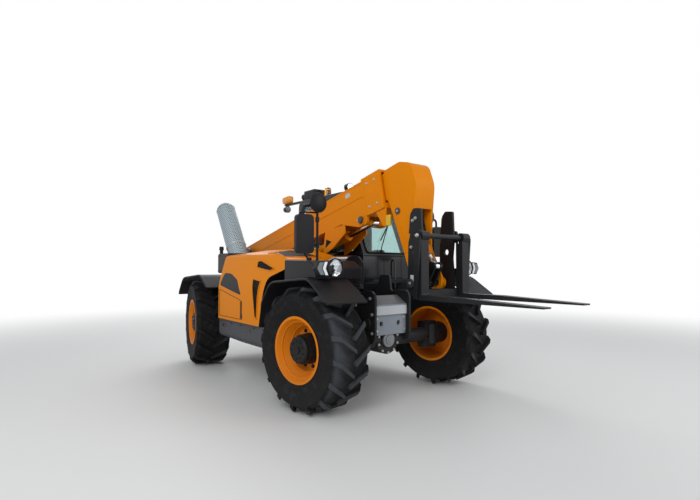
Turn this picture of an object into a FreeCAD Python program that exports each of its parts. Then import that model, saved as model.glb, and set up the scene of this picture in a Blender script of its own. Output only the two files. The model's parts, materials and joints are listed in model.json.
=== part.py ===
import FreeCAD, Part
import os
from math import cos, hypot, pi, radians, sin, tan

# A four-wheel-drive, four-wheel-steer telehandler with a two-section boom, its cab on the left and its
# engine on the right. Millimetres, +X forward, +Y left, +Z up. Everything is laid out with the front axle
# at X = 0 and the floor at Z = 0, and written out with the origin under the middle of the machine.

# Running gear
WHEELBASE = 2850.0
TRACK = 1890.0
TYRE_R = 610.0
TYRE_W = 460.0
LUG_H = 46.0
LUGS = 16
BEAD_R = 306.0
RIM_W = 430.0
RIM_FLANGE_R = 325.0
RIM_WALL = 12.0
DISH_DEPTH = 175.0
HUB_R = 150.0
HUB_OUT = 105.0
SPINDLE_R = 55.0
KINGPIN_Y = 770.0
KINGPIN_R = 30.0
KNUCKLE_R = 88.0
KNUCKLE_H = 115.0
BEAM_R = 84.0
STEER_FRONT = 9.0
STEER_REAR = -10.0

# Chassis
RAIL_Y = 235.0
RAIL_T = 30.0
FRAME_TOP = 1000.0
EAR_FRONT = 80.0
EAR_REAR = -270.0
EAR_TOP = 1130.0
POST_REAR = -280.0
POST_FRONT = -150.0
POST_TOP = 1315.0
TOWER_TOP = 1710.0
FACE_PLATE_X = 95.0
FACE_PLATE_T = 30.0
PIN_CLEAR = 0.3
SEAT_GAP = 0.3
RAIL_OUT = RAIL_Y + RAIL_T + SEAT_GAP

# Boom, along its own slope from the pivot
PIVOT_X = -3050.0
PIVOT_Z = 1580.0
INCLINE = 12.0
OUTER_W = 340.0
OUTER_H = 376.0
OUTER_T = 12.0
OUTER_REAR = -190.0
OUTER_LEN = 3320.0
COLLAR_LEN = 320.0
COLLAR_T = 15.0
COLLAR_DROP = 45.0
INNER_W = 270.0
INNER_H = 300.0
INNER_T = 10.0
INNER_REAR = 350.0
PAD_GAP = 1.0
PIVOT_PIN_R = 40.0
LIFT_PIN_S = 2914.0
LIFT_PIN_DROP = 85.0
LIFT_BASE_X = -2800.0
LIFT_BASE_Z = 1230.0
LIFT_LUG_Y = 66.0

# Boom head, carriage and forks
HEAD_PIN_X = 700.0
HEAD_PIN_Z = 1250.0
HEAD_PLATE_T = 25.0
HEAD_BOSS_R = 75.0
HEAD_PIN_R = 32.0
TILT_BASE_X = 400.0
TILT_BASE_Z = 1992.0
CRANK_R = 190.0
CRANK_ANGLE = 60.0
CARRIAGE_Y = 215.0
CARRIAGE_T = 25.0
HOOK_Y = 250.0
FORK_FRAME_HALF = 365.0
FORK_SHAFT_X = 905.0
FORK_SHAFT_Z = 1700.0
FORK_SHAFT_R = 25.0
TINE_Y = 290.0
TINE_W = 100.0
TINE_T = 45.0
TINE_LEN = 1200.0
TINE_Z = 1100.0
# hitch stubs: x, z, radius
HITCH_STUBS = ((800.0, 1712.0, 27.0), (806.0, 1160.0, 22.0))

# Cylinders
LIFT_SIZES = {"barrel_r": 60.0, "rod_r": 35.0, "barrel_len": 2250.0, "rod_len": 860.0, "eye_r": 38.0,
              "half_eye": 40.0, "base_pin_r": 32.0}
TILT_SIZES = {"barrel_r": 44.0, "rod_r": 24.0, "barrel_len": 560.0, "rod_len": 485.0, "eye_r": 36.0,
              "half_eye": 25.0, "base_pin_r": 25.0}

# Bodywork
BODY_HALF = 1100.0
HOOD_REAR = -2040.0
HOOD_FRONT = -300.0
HOOD_INNER_Y = 290.0
HOOD_LOW = 740.0
HOOD_TOP = 1650.0
HOOD_NOSE_TOP = 1490.0
HOOD_RIDGE_Y = 1000.0
HOOD_SKIN = 22.0
FENDER_T = 18.0
FENDER_IN = 720.0
FENDER_OUT = 1170.0
CAB_IN = 245.0
CAB_OUT = 1150.0
CAB_REAR = -2300.0
CAB_FRONT = -650.0
CAB_ROOF = 2430.0
CAB_WALL = 40.0
GLASS_T = 6.0
DOOR_REAR = -1650.0
DOOR_FRONT = -790.0
DOOR_LOW = 1060.0
DOOR_HIGH = 2330.0
DOOR_GAP = 6.0
GUARD_R = 135.0
GUARD_LEAN = 35.0
GUARD_LEN = 800.0
BAY_WALL_Y = RAIL_OUT + 14.0
EXHAUST_BOX_REAR = -2440.0
HOOD_HINGE_Y = BAY_WALL_Y - 7.0
HOOD_HINGE_Z = HOOD_TOP - 12.0
HINGE_STATIONS = (-1900.0, -1100.0)
COVER_OUT = 540.0
FENDER_BEND = 200.0
MIRROR_Y = 1070.0
MIRROR_POLE_Y = 900.0
COLUMN_TOP = (-960.0, 650.0, 1530.0)
COLUMN_FOOT = (-800.0, 650.0, 1060.0)

HITCH_R = 20.5
HITCH_X = -3450.0
TYRE_BACK = -WHEELBASE - TYRE_R
TINE_TIP = FORK_SHAFT_X + TINE_T / 2 + TINE_LEN
ORIGIN_X = (TYRE_BACK - 40.0 + TINE_TIP) / 2

V = FreeCAD.Vector
ALONG_X, ALONG_Y, ALONG_Z = V(1, 0, 0), V(0, 1, 0), V(0, 0, 1)


def box(x0, x1, y0, y1, z0, z1):
    return Part.makeBox(x1 - x0, y1 - y0, z1 - z0, V(x0, y0, z0))


def rod(start, end, radius):
    return Part.makeCylinder(radius, (end - start).Length, start, end - start)


def rod_y(x, z, radius, y0, y1):
    return Part.makeCylinder(radius, y1 - y0, V(x, y0, z), ALONG_Y)


def cut(shape, *tools):
    return shape.cut(list(tools)) if len(tools) > 1 else shape.cut(tools[0])


def join(*shapes):
    return shapes[0].multiFuse(list(shapes[1:])).removeSplitter() if len(shapes) > 1 else shapes[0]


def both_sides(shape):
    return [shape, shape.mirror(V(0, 0, 0), ALONG_Y)]


def turned(shape, centre, axis, angle):
    copy = shape.copy()
    copy.rotate(centre, axis, angle)
    return copy


def outline(corners, to_space):
    """A closed wire through corners (a, b) or (a, b, radius), rounded where a radius is given."""
    flat = [V(c[0], c[1], 0) for c in corners]
    radii = [c[2] if len(c) > 2 else 0.0 for c in corners]
    runs = []
    for i, corner in enumerate(flat):
        before, after = flat[i - 1], flat[(i + 1) % len(flat)]
        back, ahead = (before - corner).normalize(), (after - corner).normalize()
        if not radii[i]:
            runs.append((corner, None, corner))
            continue
        half = back.getAngle(ahead) / 2
        reach = radii[i] / tan(half)
        middle = (back + ahead).normalize()
        deep = radii[i] / sin(half) - radii[i]
        runs.append((corner + back * reach, corner + middle * deep, corner + ahead * reach))
    edges = []
    for i, (entry, middle, leave) in enumerate(runs):
        if middle is not None:
            edges.append(Part.Arc(to_space(entry), to_space(middle), to_space(leave)).toShape())
        following = runs[(i + 1) % len(runs)][0]
        if (following - leave).Length > 1e-6:
            edges.append(Part.LineSegment(to_space(leave), to_space(following)).toShape())
    return Part.Wire(edges)


def side_plate(corners, y0, y1):
    """A plate between two Y planes from corners (x, z, radius)."""
    wire = outline(corners, lambda p: V(p.x, y0, p.y))
    return Part.Face(wire).extrude(V(0, y1 - y0, 0))


def cross_plate(corners, x0, x1):
    """A plate between two X planes from corners (y, z, radius)."""
    wire = outline(corners, lambda p: V(x0, p.x, p.y))
    return Part.Face(wire).extrude(V(x1 - x0, 0, 0))


def flat_plate(corners, z0, z1):
    """A plate between two Z planes from corners (x, y, radius)."""
    wire = outline(corners, lambda p: V(p.x, p.y, z0))
    return Part.Face(wire).extrude(V(0, 0, z1 - z0))


def on_boom(s, t):
    """The point s along the boom from its pivot and t above its middle line, in the machine's X and Z."""
    a = radians(INCLINE)
    return PIVOT_X + s * cos(a) - t * sin(a), PIVOT_Z + s * sin(a) + t * cos(a)


def boom_box(s0, s1, half_w, low, high):
    """A box laid along the boom."""
    block = box(s0, s1, -half_w, half_w, low, high)
    block.translate(V(PIVOT_X, 0, PIVOT_Z))
    return turned(block, V(PIVOT_X, 0, PIVOT_Z), ALONG_Y, -INCLINE)


def boom_corners(corners):
    return [on_boom(c[0], c[1]) + tuple(c[2:]) for c in corners]


def strip(points, thickness, y0, y1, bend):
    """A bent sheet whose under side follows points (x, z) and whose corners are rounded by bend."""
    def offset(i):
        directions = []
        for a, b in ((i - 1, i), (i, i + 1)):
            if a >= 0 and b < len(points):
                dx, dz = points[b][0] - points[a][0], points[b][1] - points[a][1]
                directions.append((-dz / hypot(dx, dz), dx / hypot(dx, dz)))
        nx = sum(d[0] for d in directions)
        nz = sum(d[1] for d in directions)
        scale = thickness * len(directions) / (nx * nx + nz * nz) if len(directions) > 1 else thickness
        return points[i][0] + nx * scale, points[i][1] + nz * scale
    under = [tuple(p) + ((bend,) if 0 < i < len(points) - 1 else ()) for i, p in enumerate(points)]
    over = [offset(i) + ((bend + thickness,) if 0 < i < len(points) - 1 else ()) for i in range(len(points))]
    return side_plate(under + over[::-1], y0, y1)


# Wheels: each is built about its own axle line, outboard towards -Y, then put in place and steered.

def on_tyre(angle, across, radius):
    return V(radius * sin(angle), across, radius * cos(angle))


def tread_ring(across, turn, ahead, half, top, foot):
    """One cut through the tread: the four corners of each bar and one in the groove behind it."""
    pitch = 2 * pi / LUGS
    ring = []
    for k in range(LUGS):
        middle = turn + k * pitch + ahead / TYRE_R
        reach = half / TYRE_R
        for angle, radius in ((middle - reach, foot), (middle - reach, top), (middle + reach, top),
                              (middle + reach, foot), (middle + pitch / 2, foot)):
            ring.append(on_tyre(angle, across, radius))
    return ring


def wall_ring(across, angles, radius):
    return [on_tyre(angle, across, radius) for angle in angles]


def skin(near, far):
    """Triangles between two rings with the same number of corners."""
    loops = []
    for i in range(len(near)):
        j = (i + 1) % len(near)
        loops += [[near[i], near[j], far[j]], [near[i], far[j], far[i]]]
    return loops


def tyre():
    """Tread bars on both halves, half a pitch apart, with shoulders, side walls and bead, all in flat facets."""
    crown = TYRE_R - LUG_H
    pitch = 2 * pi / LUGS
    # bar ahead, bar half width, bar top radius, groove radius: at the middle of the tread
    ahead, half, top, foot = 88.0, 17.0, TYRE_R, crown
    starts = [j * pitch / 2 + ahead / TYRE_R for j in range(2 * LUGS)]
    middle = [on_tyre(a + way * half / TYRE_R, 0.0, foot) for a in starts for way in (-1, 1)]
    bore = (BEAD_R + SEAT_GAP) / cos(pitch / 6)
    bead = RIM_W / 2 - RIM_WALL - SEAT_GAP
    loops, beads = [], []
    for side in (1, -1):
        turn = 0.0 if side > 0 else pitch / 2
        # across, bar ahead, bar half width, bar top radius, groove radius
        out = tread_ring(side * (TYRE_W / 2 - 48.0), turn, -44.0, 22.0, TYRE_R - 4.0, crown - 8.0)
        shoulder = tread_ring(side * TYRE_W / 2, turn, -70.0, 28.0, TYRE_R - 62.0, TYRE_R - 62.0 - LUG_H / 2)
        under = []
        for k in range(LUGS):
            j = 2 * k + (0 if side > 0 else 1)
            a, b, c, d = (middle[(2 * j + i) % len(middle)] for i in range(4))
            following = middle[(2 * j + 4) % len(middle)]
            top_a, top_b = (on_tyre(starts[j] + way * half / TYRE_R, 0.0, top) for way in (-1, 1))
            low_1, top_1, top_2, low_2, groove = out[5 * k:5 * k + 5]
            low_3 = out[(5 * k + 5) % len(out)]
            loops += [[a, top_a, top_1], [a, top_1, low_1], [top_a, top_b, top_2], [top_a, top_2, top_1],
                      [top_b, b, low_2], [top_b, low_2, top_2], [a, b, top_b], [a, top_b, top_a],
                      [b, c, low_2], [c, groove, low_2], [c, d, groove], [d, low_3, groove],
                      [d, following, low_3]]
            low_a, tip_a, tip_b, low_b, behind = shoulder[5 * k:5 * k + 5]
            loops += [[low_a, tip_a, tip_b], [low_a, tip_b, low_b]]
            under += [low_a, low_b, behind]
        loops += skin(out, shoulder)
        spots = [turn + k * pitch + (-70.0 + off) / TYRE_R for k in range(LUGS) for off in (-28.0, 28.0, TYRE_R * pitch / 2)]
        wall = wall_ring(side * (TYRE_W / 2 - 3.0), spots, 430.0)
        first = 0 if side > 0 else 1
        even = [(i + first) * pitch / 3 - ahead / TYRE_R for i in range(3 * LUGS)]
        ring = wall_ring(side * bead, even, bore)
        loops += skin(under, wall) + skin(wall, ring)
        beads.append(ring)
    loops += skin(beads[0], beads[1][-1:] + beads[1][:-1])
    shell = Part.Shell([Part.Face(Part.makePolygon(loop + [loop[0]])) for loop in loops])
    shell.sewShape()
    solid = Part.Solid(shell)
    return solid if solid.Volume > 0 else solid.reversed()


def rim():
    """The wheel: a barrel with two flanges, a deep dished disc, and the planetary hub that turns with it."""
    half = RIM_W / 2
    seat = BEAD_R - SEAT_GAP
    face = half - DISH_DEPTH
    inside = seat - RIM_WALL
    profile = [
        (-half, RIM_FLANGE_R), (-half, inside + 6), (-face, 200.0), (-face, HUB_R),
        (-HUB_OUT - face, HUB_R - 8), (-HUB_OUT - face, 0), (-HUB_OUT - face + 18, 0),
        (-HUB_OUT - face + 18, SPINDLE_R + PIN_CLEAR), (-face + RIM_WALL + 24, SPINDLE_R + PIN_CLEAR),
        (-face + RIM_WALL + 24, HUB_R), (-face - 10, inside - 16), (half, inside + 6),
        (half, RIM_FLANGE_R), (half - RIM_WALL, seat), (-half + RIM_WALL, seat),
    ]
    wire = Part.makePolygon([V(0, y, r) for y, r in profile] + [V(0, profile[0][0], profile[0][1])])
    return Part.Face(wire).revolve(V(0, 0, 0), ALONG_Y, 360)


def knuckle():
    """The steering knuckle about the kingpin, with its spindle; its origin is the kingpin on the axle line."""
    out = KINGPIN_Y - TRACK / 2
    face = out - (RIM_W / 2 - DISH_DEPTH) + RIM_WALL + 24 + 6
    barrel = Part.makeCylinder(KNUCKLE_R, 2 * KNUCKLE_H, V(0, 0, -KNUCKLE_H))
    trumpet = Part.makeCone(105.0, 128.0, -face - 10, V(0, -10, 0), V(0, -1, 0))
    spindle_end = out - (RIM_W / 2 - DISH_DEPTH) - HUB_OUT + 30 + 5
    spindle = rod(V(0, 0, 0), V(0, spindle_end, 0), SPINDLE_R)
    arm = flat_plate([(0, -60), (0, 50), (-90, 40), (-215, 50, 28), (-215, -10, 28)], -40.0, -12.0)
    bore = Part.makeCylinder(KINGPIN_R + PIN_CLEAR, 2 * KNUCKLE_H + 20, V(0, 0, -KNUCKLE_H - 10))
    return cut(join(barrel, trumpet, spindle, arm), bore)


def placed(shape, right_side, axle_x, steer, about_kingpin):
    """Put a right-hand wheel piece on its corner of the machine, mirrored for the left, and steer it."""
    offset = 0.0 if about_kingpin else -(TRACK / 2 - KINGPIN_Y)
    copy = shape.copy()
    copy.translate(V(0, offset, 0))
    if not right_side:
        copy = copy.mirror(V(0, 0, 0), ALONG_Y)
    copy.rotate(V(0, 0, 0), ALONG_Z, steer)
    copy.translate(V(axle_x, -KINGPIN_Y if right_side else KINGPIN_Y, TYRE_R))
    return copy


def axle(x, pinion_way):
    """A rigid steering axle: trumpet beam, differential and end forks with their kingpins."""
    centre = V(x, 0, TYRE_R)
    fork_in = KINGPIN_Y - KNUCKLE_R - 45.0
    ear_z = KNUCKLE_H + 1.0
    parts = [rod(V(x, -fork_in, TYRE_R), V(x, fork_in, TYRE_R), BEAM_R)]
    parts.append(rod(centre - V(pinion_way * 165, 0, 0), centre + V(pinion_way * 78, 0, 0), 158.0))
    parts.append(rod(centre + V(pinion_way * 78, 0, 0), centre + V(pinion_way * 92, 0, 0), 92.0))
    for way in (-1, 1):
        y_in, y_pin = way * (fork_in - 25), way * KINGPIN_Y
        block = box(x - 62, x + 62, min(y_in, way * (fork_in + 30)), max(y_in, way * (fork_in + 30)),
                    TYRE_R - ear_z - 36, TYRE_R + ear_z + 36)
        parts.append(block)
        for up in (-1, 1):
            z0 = TYRE_R + ear_z if up > 0 else TYRE_R - ear_z - 36
            ear = box(x - 62, x + 62, min(y_in, y_pin), max(y_in, y_pin), z0, z0 + 36)
            parts += [ear, Part.makeCylinder(62.0, 36.0, V(x, y_pin, z0))]
        parts.append(Part.makeCylinder(KINGPIN_R, 2 * ear_z + 20, V(x, y_pin, TYRE_R - ear_z - 10)))
    ram_x = x - pinion_way * 215
    parts.append(rod_y(ram_x, TYRE_R + 120, 42.0, -190, 190))
    parts.append(box(min(ram_x, x), max(ram_x, x), -70, 70, TYRE_R + 75, TYRE_R + 125))
    return join(*parts)


# Chassis

def rail_corners():
    return [
        (EAR_FRONT, EAR_TOP, 75), (EAR_FRONT, 560, 60), (-10, 520, 60), (EAR_REAR + 40, 520, 60),
        (EAR_REAR - 90, 470, 60), (-2350, 470, 80), (-2450, 520, 80), (-3180, 520, 80), (-3290, 700, 60),
        (-3260, TOWER_TOP, 110), (-2900, TOWER_TOP, 110), (-2680, 1230, 120), (-2420, FRAME_TOP, 140),
        (-440, FRAME_TOP, 80), (POST_REAR - 30, POST_TOP, 20), (POST_FRONT, POST_TOP, 20), (POST_FRONT + 20, EAR_TOP, 40),
    ]


def chassis_frame():
    """Two deep side plates tied by tubes and boxes, with the boom tower at the rear and ears at the front."""
    inner, outer = RAIL_Y, RAIL_Y + RAIL_T
    rail = side_plate(rail_corners(), inner, outer)
    holes = [rod_y(x, TYRE_R, BEAM_R + PIN_CLEAR, inner - 5, outer + 5) for x in (0.0, -WHEELBASE)]
    holes += [rod_y(x, z, 55.0, inner - 5, outer + 5) for x, z in ((-900, 760), (-1500, 760), (-2100, 760))]
    rail = cut(rail, *holes)
    ties = [
        box(-330, -280, -inner, inner, 760, 960), box(-2350, -2250, -inner, inner, 490, 550),
        box(-2960, -2700, -inner, inner, 960, 1080), box(-3270, -3240, -inner, inner, 700, 1200),
        box(-1750, -1700, -inner, inner, 480, 560), box(-800, -750, -inner, inner, 480, 560),
    ]
    lug_corners = [(-2900, 1080), (-2690, 1080), (LIFT_BASE_X + 62, 1240, 20), (LIFT_BASE_X + 40, 1300, 40),
                   (LIFT_BASE_X - 40, 1300, 40)]
    for y0, y1 in ((-LIFT_LUG_Y - 32, -LIFT_LUG_Y), (LIFT_LUG_Y, LIFT_LUG_Y + 32)):
        ties.append(side_plate(lug_corners, y0, y1))
    ties.append(rod_y(LIFT_BASE_X, LIFT_BASE_Z, LIFT_SIZES["base_pin_r"], -LIFT_LUG_Y - 32, LIFT_LUG_Y + 32))
    reach = outer + 22
    ties.append(rod_y(PIVOT_X, PIVOT_Z, PIVOT_PIN_R, -reach, reach))
    ties += [rod_y(PIVOT_X, PIVOT_Z, PIVOT_PIN_R + 16, *ends) for ends in ((-reach, -inner), (inner, reach))]
    return join(*both_sides(rail), *ties)


def face_plate():
    """The cast plate between the front ears, with its two oval eyes and a sloped top."""
    x0, x1 = FACE_PLATE_X, FACE_PLATE_X + FACE_PLATE_T
    half = RAIL_Y - SEAT_GAP
    plate = cross_plate([(-half, 670, 30), (half, 670, 30), (half, 1000), (-half, 1000)], x0, x1)
    for y in (-125, 125):
        slot = cross_plate([(y - 24, 765, 23), (y + 24, 765, 23), (y + 24, 820, 23), (y - 24, 820, 23)], x0 - 5, x1 + 5)
        plate = plate.cut(slot)
    top = side_plate([(x1, 930), (x1 + 16, 935), (x1 + 16, 1000), (-10, 1090), (-40, 1090), (-40, 1060), (x1, 985)],
                     -half, half)
    back = [box(-60, x0, y - 12, y + 12, 700, 1010) for y in (-half + 12, half - 12)]
    return join(plate, top, *back)


def rear_weight():
    """The counterweight that closes the back of the frame, and the pin hitch under it."""
    x0, x1 = -3420.0, -3290.0 - SEAT_GAP
    block = cross_plate([(-355, 560, 40), (355, 560, 40), (355, 1180, 60), (-355, 1180, 60)], x0, x1)
    recess = box(x0 - 5, x0 + 70, -120, 120, 640, 900)
    block = block.cut(recess)
    tongues = [flat_plate([(x0 + 75, -80), (x0 + 75, 80), (x0 - 75, 60, 50), (x0 - 75, -60, 50)], z, z + 24)
               for z in (690, 830)]
    return join(block, *tongues).cut(Part.makeCylinder(HITCH_R, 300, V(HITCH_X, 0, 640)))


def gearbox():
    """The hydrostatic drive box between the rails and the shafts to both axles."""
    case = side_plate([(-1560, 520, 40), (-1080, 520, 40), (-1080, 860, 60), (-1560, 860, 60)], -190, 190)
    front = rod(V(-1080, 0, TYRE_R), V(-165 - SEAT_GAP, 0, TYRE_R), 34.0)
    rear = rod(V(-WHEELBASE + 165 + SEAT_GAP, 0, TYRE_R), V(-1560, 0, TYRE_R), 34.0)
    flanges = [rod(V(x, 0, TYRE_R), V(x + 30, 0, TYRE_R), 62.0)
               for x in (-1080, -165 - SEAT_GAP - 30, -1590, -WHEELBASE + 165 + SEAT_GAP)]
    return join(case, front, rear, *flanges)


# Engine side

def hood_side_corners(inset):
    """The hood seen from the right, (x, z, radius); inset moves the walls in by the skin."""
    i = inset
    return [
        (HOOD_REAR + i, HOOD_LOW - i), (-850 - i, HOOD_LOW - i), (-790 - i, 1000, 60), (-690 - i, 1290, 120),
        (HOOD_FRONT - i, 1400), (HOOD_FRONT - i, HOOD_NOSE_TOP - i, 12), (-980, HOOD_TOP - 20 - i, 400),
        (HOOD_REAR + i, HOOD_TOP - i, 90 - i),
    ]


def hood_end_corners(inset):
    """The hood seen from the front, (y, z, radius)."""
    i = inset
    inner = -HOOD_INNER_Y + (60 if i else 0)
    return [
        (inner, HOOD_LOW - 300), (-BODY_HALF + i, HOOD_LOW - 300), (-BODY_HALF + i, 1180, 500),
        (-HOOD_RIDGE_Y + i, 1560 - i, 70), (inner, HOOD_TOP + 12 - i),
    ]


def hood_form(inset):
    side = side_plate(hood_side_corners(inset), -BODY_HALF - 50, -HOOD_INNER_Y + (60 if inset else 0))
    return side.common(cross_plate(hood_end_corners(inset), HOOD_REAR - 50, HOOD_FRONT + 50))


def hood_shell():
    """The hood's skin, and the knuckles on its inner edge that turn on the bay wall's pins."""
    shell = hood_form(0.0).cut(hood_form(HOOD_SKIN))
    pieces = [shell]
    for x in HINGE_STATIONS:
        pieces.append(rod(V(x, -HOOD_HINGE_Y, HOOD_HINGE_Z), V(x + 80, -HOOD_HINGE_Y, HOOD_HINGE_Z), 15))
        pieces.append(box(x, x + 80, -HOOD_INNER_Y - 40, -HOOD_HINGE_Y, HOOD_HINGE_Z - 8, HOOD_HINGE_Z + 6))
    bores = [rod(V(x - 5, -HOOD_HINGE_Y, HOOD_HINGE_Z), V(x + 85, -HOOD_HINGE_Y, HOOD_HINGE_Z), 8 + PIN_CLEAR)
             for x in HINGE_STATIONS]
    return cut(join(*pieces), *bores)


def engine_skirt():
    """The grey tray under the engine bay, open at its top."""
    def tray(x0, x1, inset, top):
        i = inset
        return cross_plate([(-RAIL_OUT - i, top), (-RAIL_OUT - i, 372 + i, 40),
                            (-720 + i * 0.4, 372 + i, 60), (-1062 + i, 520, 60), (-1062 + i, top)], x0, x1)
    top = HOOD_LOW - 6
    return cut(tray(-2100, -748, 0.0, top), tray(-2085, -763, 15.0, top + 5))


def bay_wall():
    """The fixed inner wall of the engine bay, which carries the hood's hinge pins and the exhaust's box."""
    wall = side_plate([(EXHAUST_BOX_REAR, 1320), (HOOD_REAR - 40, 1240), (HOOD_REAR - 40, 900), (-620, 900),
                       (-500, 1150), (HOOD_FRONT, 1200), (HOOD_FRONT, HOOD_NOSE_TOP - 20),
                       (-980, HOOD_TOP - 50), (EXHAUST_BOX_REAR, HOOD_TOP - 50)], -BAY_WALL_Y, -RAIL_OUT)
    pieces = [wall]
    for x in HINGE_STATIONS:
        for x0 in (x - 14, x + 82):
            pieces.append(box(x0, x0 + 12, -BAY_WALL_Y, -RAIL_OUT, HOOD_TOP - 120, HOOD_HINGE_Z + 10))
        pieces.append(rod(V(x - 10, -HOOD_HINGE_Y, HOOD_HINGE_Z), V(x + 90, -HOOD_HINGE_Y, HOOD_HINGE_Z), 8))
        clear = box(x - 2, x + 82, -BAY_WALL_Y - 5, -RAIL_OUT + 5, HOOD_HINGE_Z - 22, HOOD_HINGE_Z + 30)
        pieces[0] = pieces[0].cut(clear)
    return join(*pieces)


def engine_block():
    block = side_plate([(-1880, 790, 60), (-1010, 790, 60), (-1010, 1330, 90), (-1880, 1330, 90)], -880, -400)
    feet = [box(x, x + 90, -410, -RAIL_OUT, 800, 850) for x in (-1750, -1250)]
    return join(block, *feet)


def exhaust_base():
    """The after-treatment box behind the hood, on the frame's right side."""
    x0, x1 = EXHAUST_BOX_REAR, HOOD_REAR - 8
    return side_plate([(x0, 1325, 30), (x1, 1325, 30), (x1, 1600, 40), (x0, 1600, 40)], -960, -BAY_WALL_Y - SEAT_GAP)


def exhaust_guard():
    """The perforated sleeve round the exhaust stack, leaning back, with a rolled rim at its mouth."""
    foot = V(-2222, -750, 1600 + SEAT_GAP)
    lean = V(-sin(radians(GUARD_LEAN)), 0, cos(radians(GUARD_LEAN)))
    sleeve = rod(foot - lean * 200, foot + lean * GUARD_LEN, GUARD_R)
    hollow = rod(foot + lean * 160, foot + lean * (GUARD_LEN + 10), GUARD_R - 8)
    stack = rod(foot + lean * 100, foot + lean * (GUARD_LEN + 30), 55.0)
    stack_bore = rod(foot + lean * 400, foot + lean * (GUARD_LEN + 60), 49.0)
    body = cut(join(cut(sleeve, hollow), stack), stack_bore)
    return body.cut(box(foot.x - 600, foot.x + 600, -1200, 0, 1000, foot.z))


def front_cowl():
    """The black cover over the right front fender, behind the headlight."""
    body = side_plate([(HOOD_FRONT + 6, 1240), (300, 1240), (300, 1400, 20), (180, 1470, 30),
                       (HOOD_FRONT + 6, HOOD_NOSE_TOP - 8, 10)], -1085, -COVER_OUT - SEAT_GAP)
    return body.cut(over_fender(0.0, -1200, -500))


def tower_cover():
    """The round-topped black cover beside the boom, on the frame's right post."""
    y0, y1 = -COVER_OUT, -RAIL_OUT
    return cross_plate([(y0, 1165, 20), (y1, 1165, 20), (y1, 1535, 137), (y0, 1535, 137)], HOOD_FRONT + 6, 0.0)


# Fenders

def fender_line(axle_x):
    """The under side of a fender, from its rear edge to its front edge."""
    return [(axle_x - 655, 985), (axle_x - 440, 1240), (axle_x + 280, 1290), (axle_x + 610, 1075)]


def over_fender(axle_x, y0, y1):
    """All the space under a fender's upper face, to cut what stands on it."""
    line = fender_line(axle_x)
    top = strip(line, FENDER_T + SEAT_GAP, y0, y1, FENDER_BEND)
    low = side_plate([(line[0][0], 700), (line[-1][0], 700)] + [p + (FENDER_BEND,) if 0 < i < 3 else p
                      for i, p in enumerate(line[::-1])], y0, y1)
    return top.fuse(low)


def fender_arm(x0, y_in, y_out):
    return box(x0, x0 + 80, min(y_in, y_out), max(y_in, y_out), 1222, 1262)


def fenders():
    """Four bent sheets over the wheels, each with its arm from the frame or from the tower cover."""
    front = strip(fender_line(0.0), FENDER_T, FENDER_IN, FENDER_OUT, FENDER_BEND)
    x0 = (POST_REAR + POST_FRONT) / 2 - 40
    beside_cab = box(CAB_FRONT - 200, CAB_FRONT + 12, FENDER_IN - 10, FENDER_OUT + 10, 900, 1300)
    pieces = [join(front, fender_arm(x0, RAIL_OUT, FENDER_IN + 40)).cut(beside_cab),
              join(front.mirror(V(0, 0, 0), ALONG_Y), fender_arm(x0, -COVER_OUT - SEAT_GAP, -FENDER_IN - 40))]
    line = fender_line(-WHEELBASE)
    line[-1] = (-WHEELBASE + 545, 1118)
    rear = strip(line, FENDER_T, FENDER_IN, FENDER_OUT, FENDER_BEND)
    return pieces + both_sides(join(rear, fender_arm(-3050, RAIL_OUT, FENDER_IN + 40)))


# Lamps and mirrors

def headlights():
    """Round lamp pods on the front fenders, with a bezel ring and a recessed lens."""
    centre = V(430, -950, 1400)
    pod = Part.makeCone(62, 92, 80, centre - V(110, 0, 0), ALONG_X)
    bezel = rod(centre - V(30, 0, 0), centre, 92)
    stalk = box(300 + SEAT_GAP, 345, -985, -915, 1350, 1395)
    shape = join(pod, bezel, stalk).cut(rod(centre - V(12, 0, 0), centre + V(10, 0, 0), 80))
    foot = box(230, 345, 915, 985, 1240, 1395)
    left = join(shape.mirror(V(0, 0, 0), ALONG_Y), foot).cut(over_fender(0.0, 800, 1100))
    return [shape, left]


def bent_tube(points, bend, radius):
    """A round tube along straight runs whose corners are bent to a radius."""
    spots = [V(*p) for p in points]
    edges, start = [], spots[0]
    for before, corner, after in zip(spots, spots[1:], spots[2:]):
        back, ahead = (before - corner).normalize(), (after - corner).normalize()
        half = back.getAngle(ahead) / 2
        reach, deep = bend / tan(half), bend / sin(half) - bend
        entry, leave = corner + back * reach, corner + ahead * reach
        middle = corner + (back + ahead).normalize() * deep
        edges += [Part.LineSegment(start, entry).toShape(), Part.Arc(entry, middle, leave).toShape()]
        start = leave
    edges.append(Part.LineSegment(start, spots[-1]).toShape())
    section = Part.Wire(Part.makeCircle(radius, spots[0], spots[1] - spots[0]))
    return Part.Wire(edges).makePipeShell([section], True, False)


def mirrors():
    """Two big mirrors, each on a bent tube arm that stands on the fender and loops over the housing."""
    pieces = []
    for side, x in ((-1, 40.0), (1, -170.0)):
        y_pole, y_head = side * MIRROR_POLE_Y, side * MIRROR_Y
        arm = bent_tube([(x, y_pole, 1250), (x, y_pole, 2020), (x, y_head, 2020), (x, y_head, 1600)], 45.0, 13.0)
        arm = arm.cut(over_fender(0.0, min(side * 800, side * 1000), max(side * 800, side * 1000)))
        head = cross_plate([(y_head - 100, 1540, 45), (y_head + 100, 1540, 45), (y_head + 100, 1925, 45),
                            (y_head - 100, 1925, 45)], x + 6, x + 50)
        stay = box(x - 8, x + 8, min(y_pole, y_head), max(y_pole, y_head), 1622, 1638)
        pieces.append(join(arm, head, stay))
    right = pieces[0].cut(front_cowl())
    pieces[0] = max(right.Solids, key=lambda piece: piece.Volume)
    return pieces


# Cab

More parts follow.
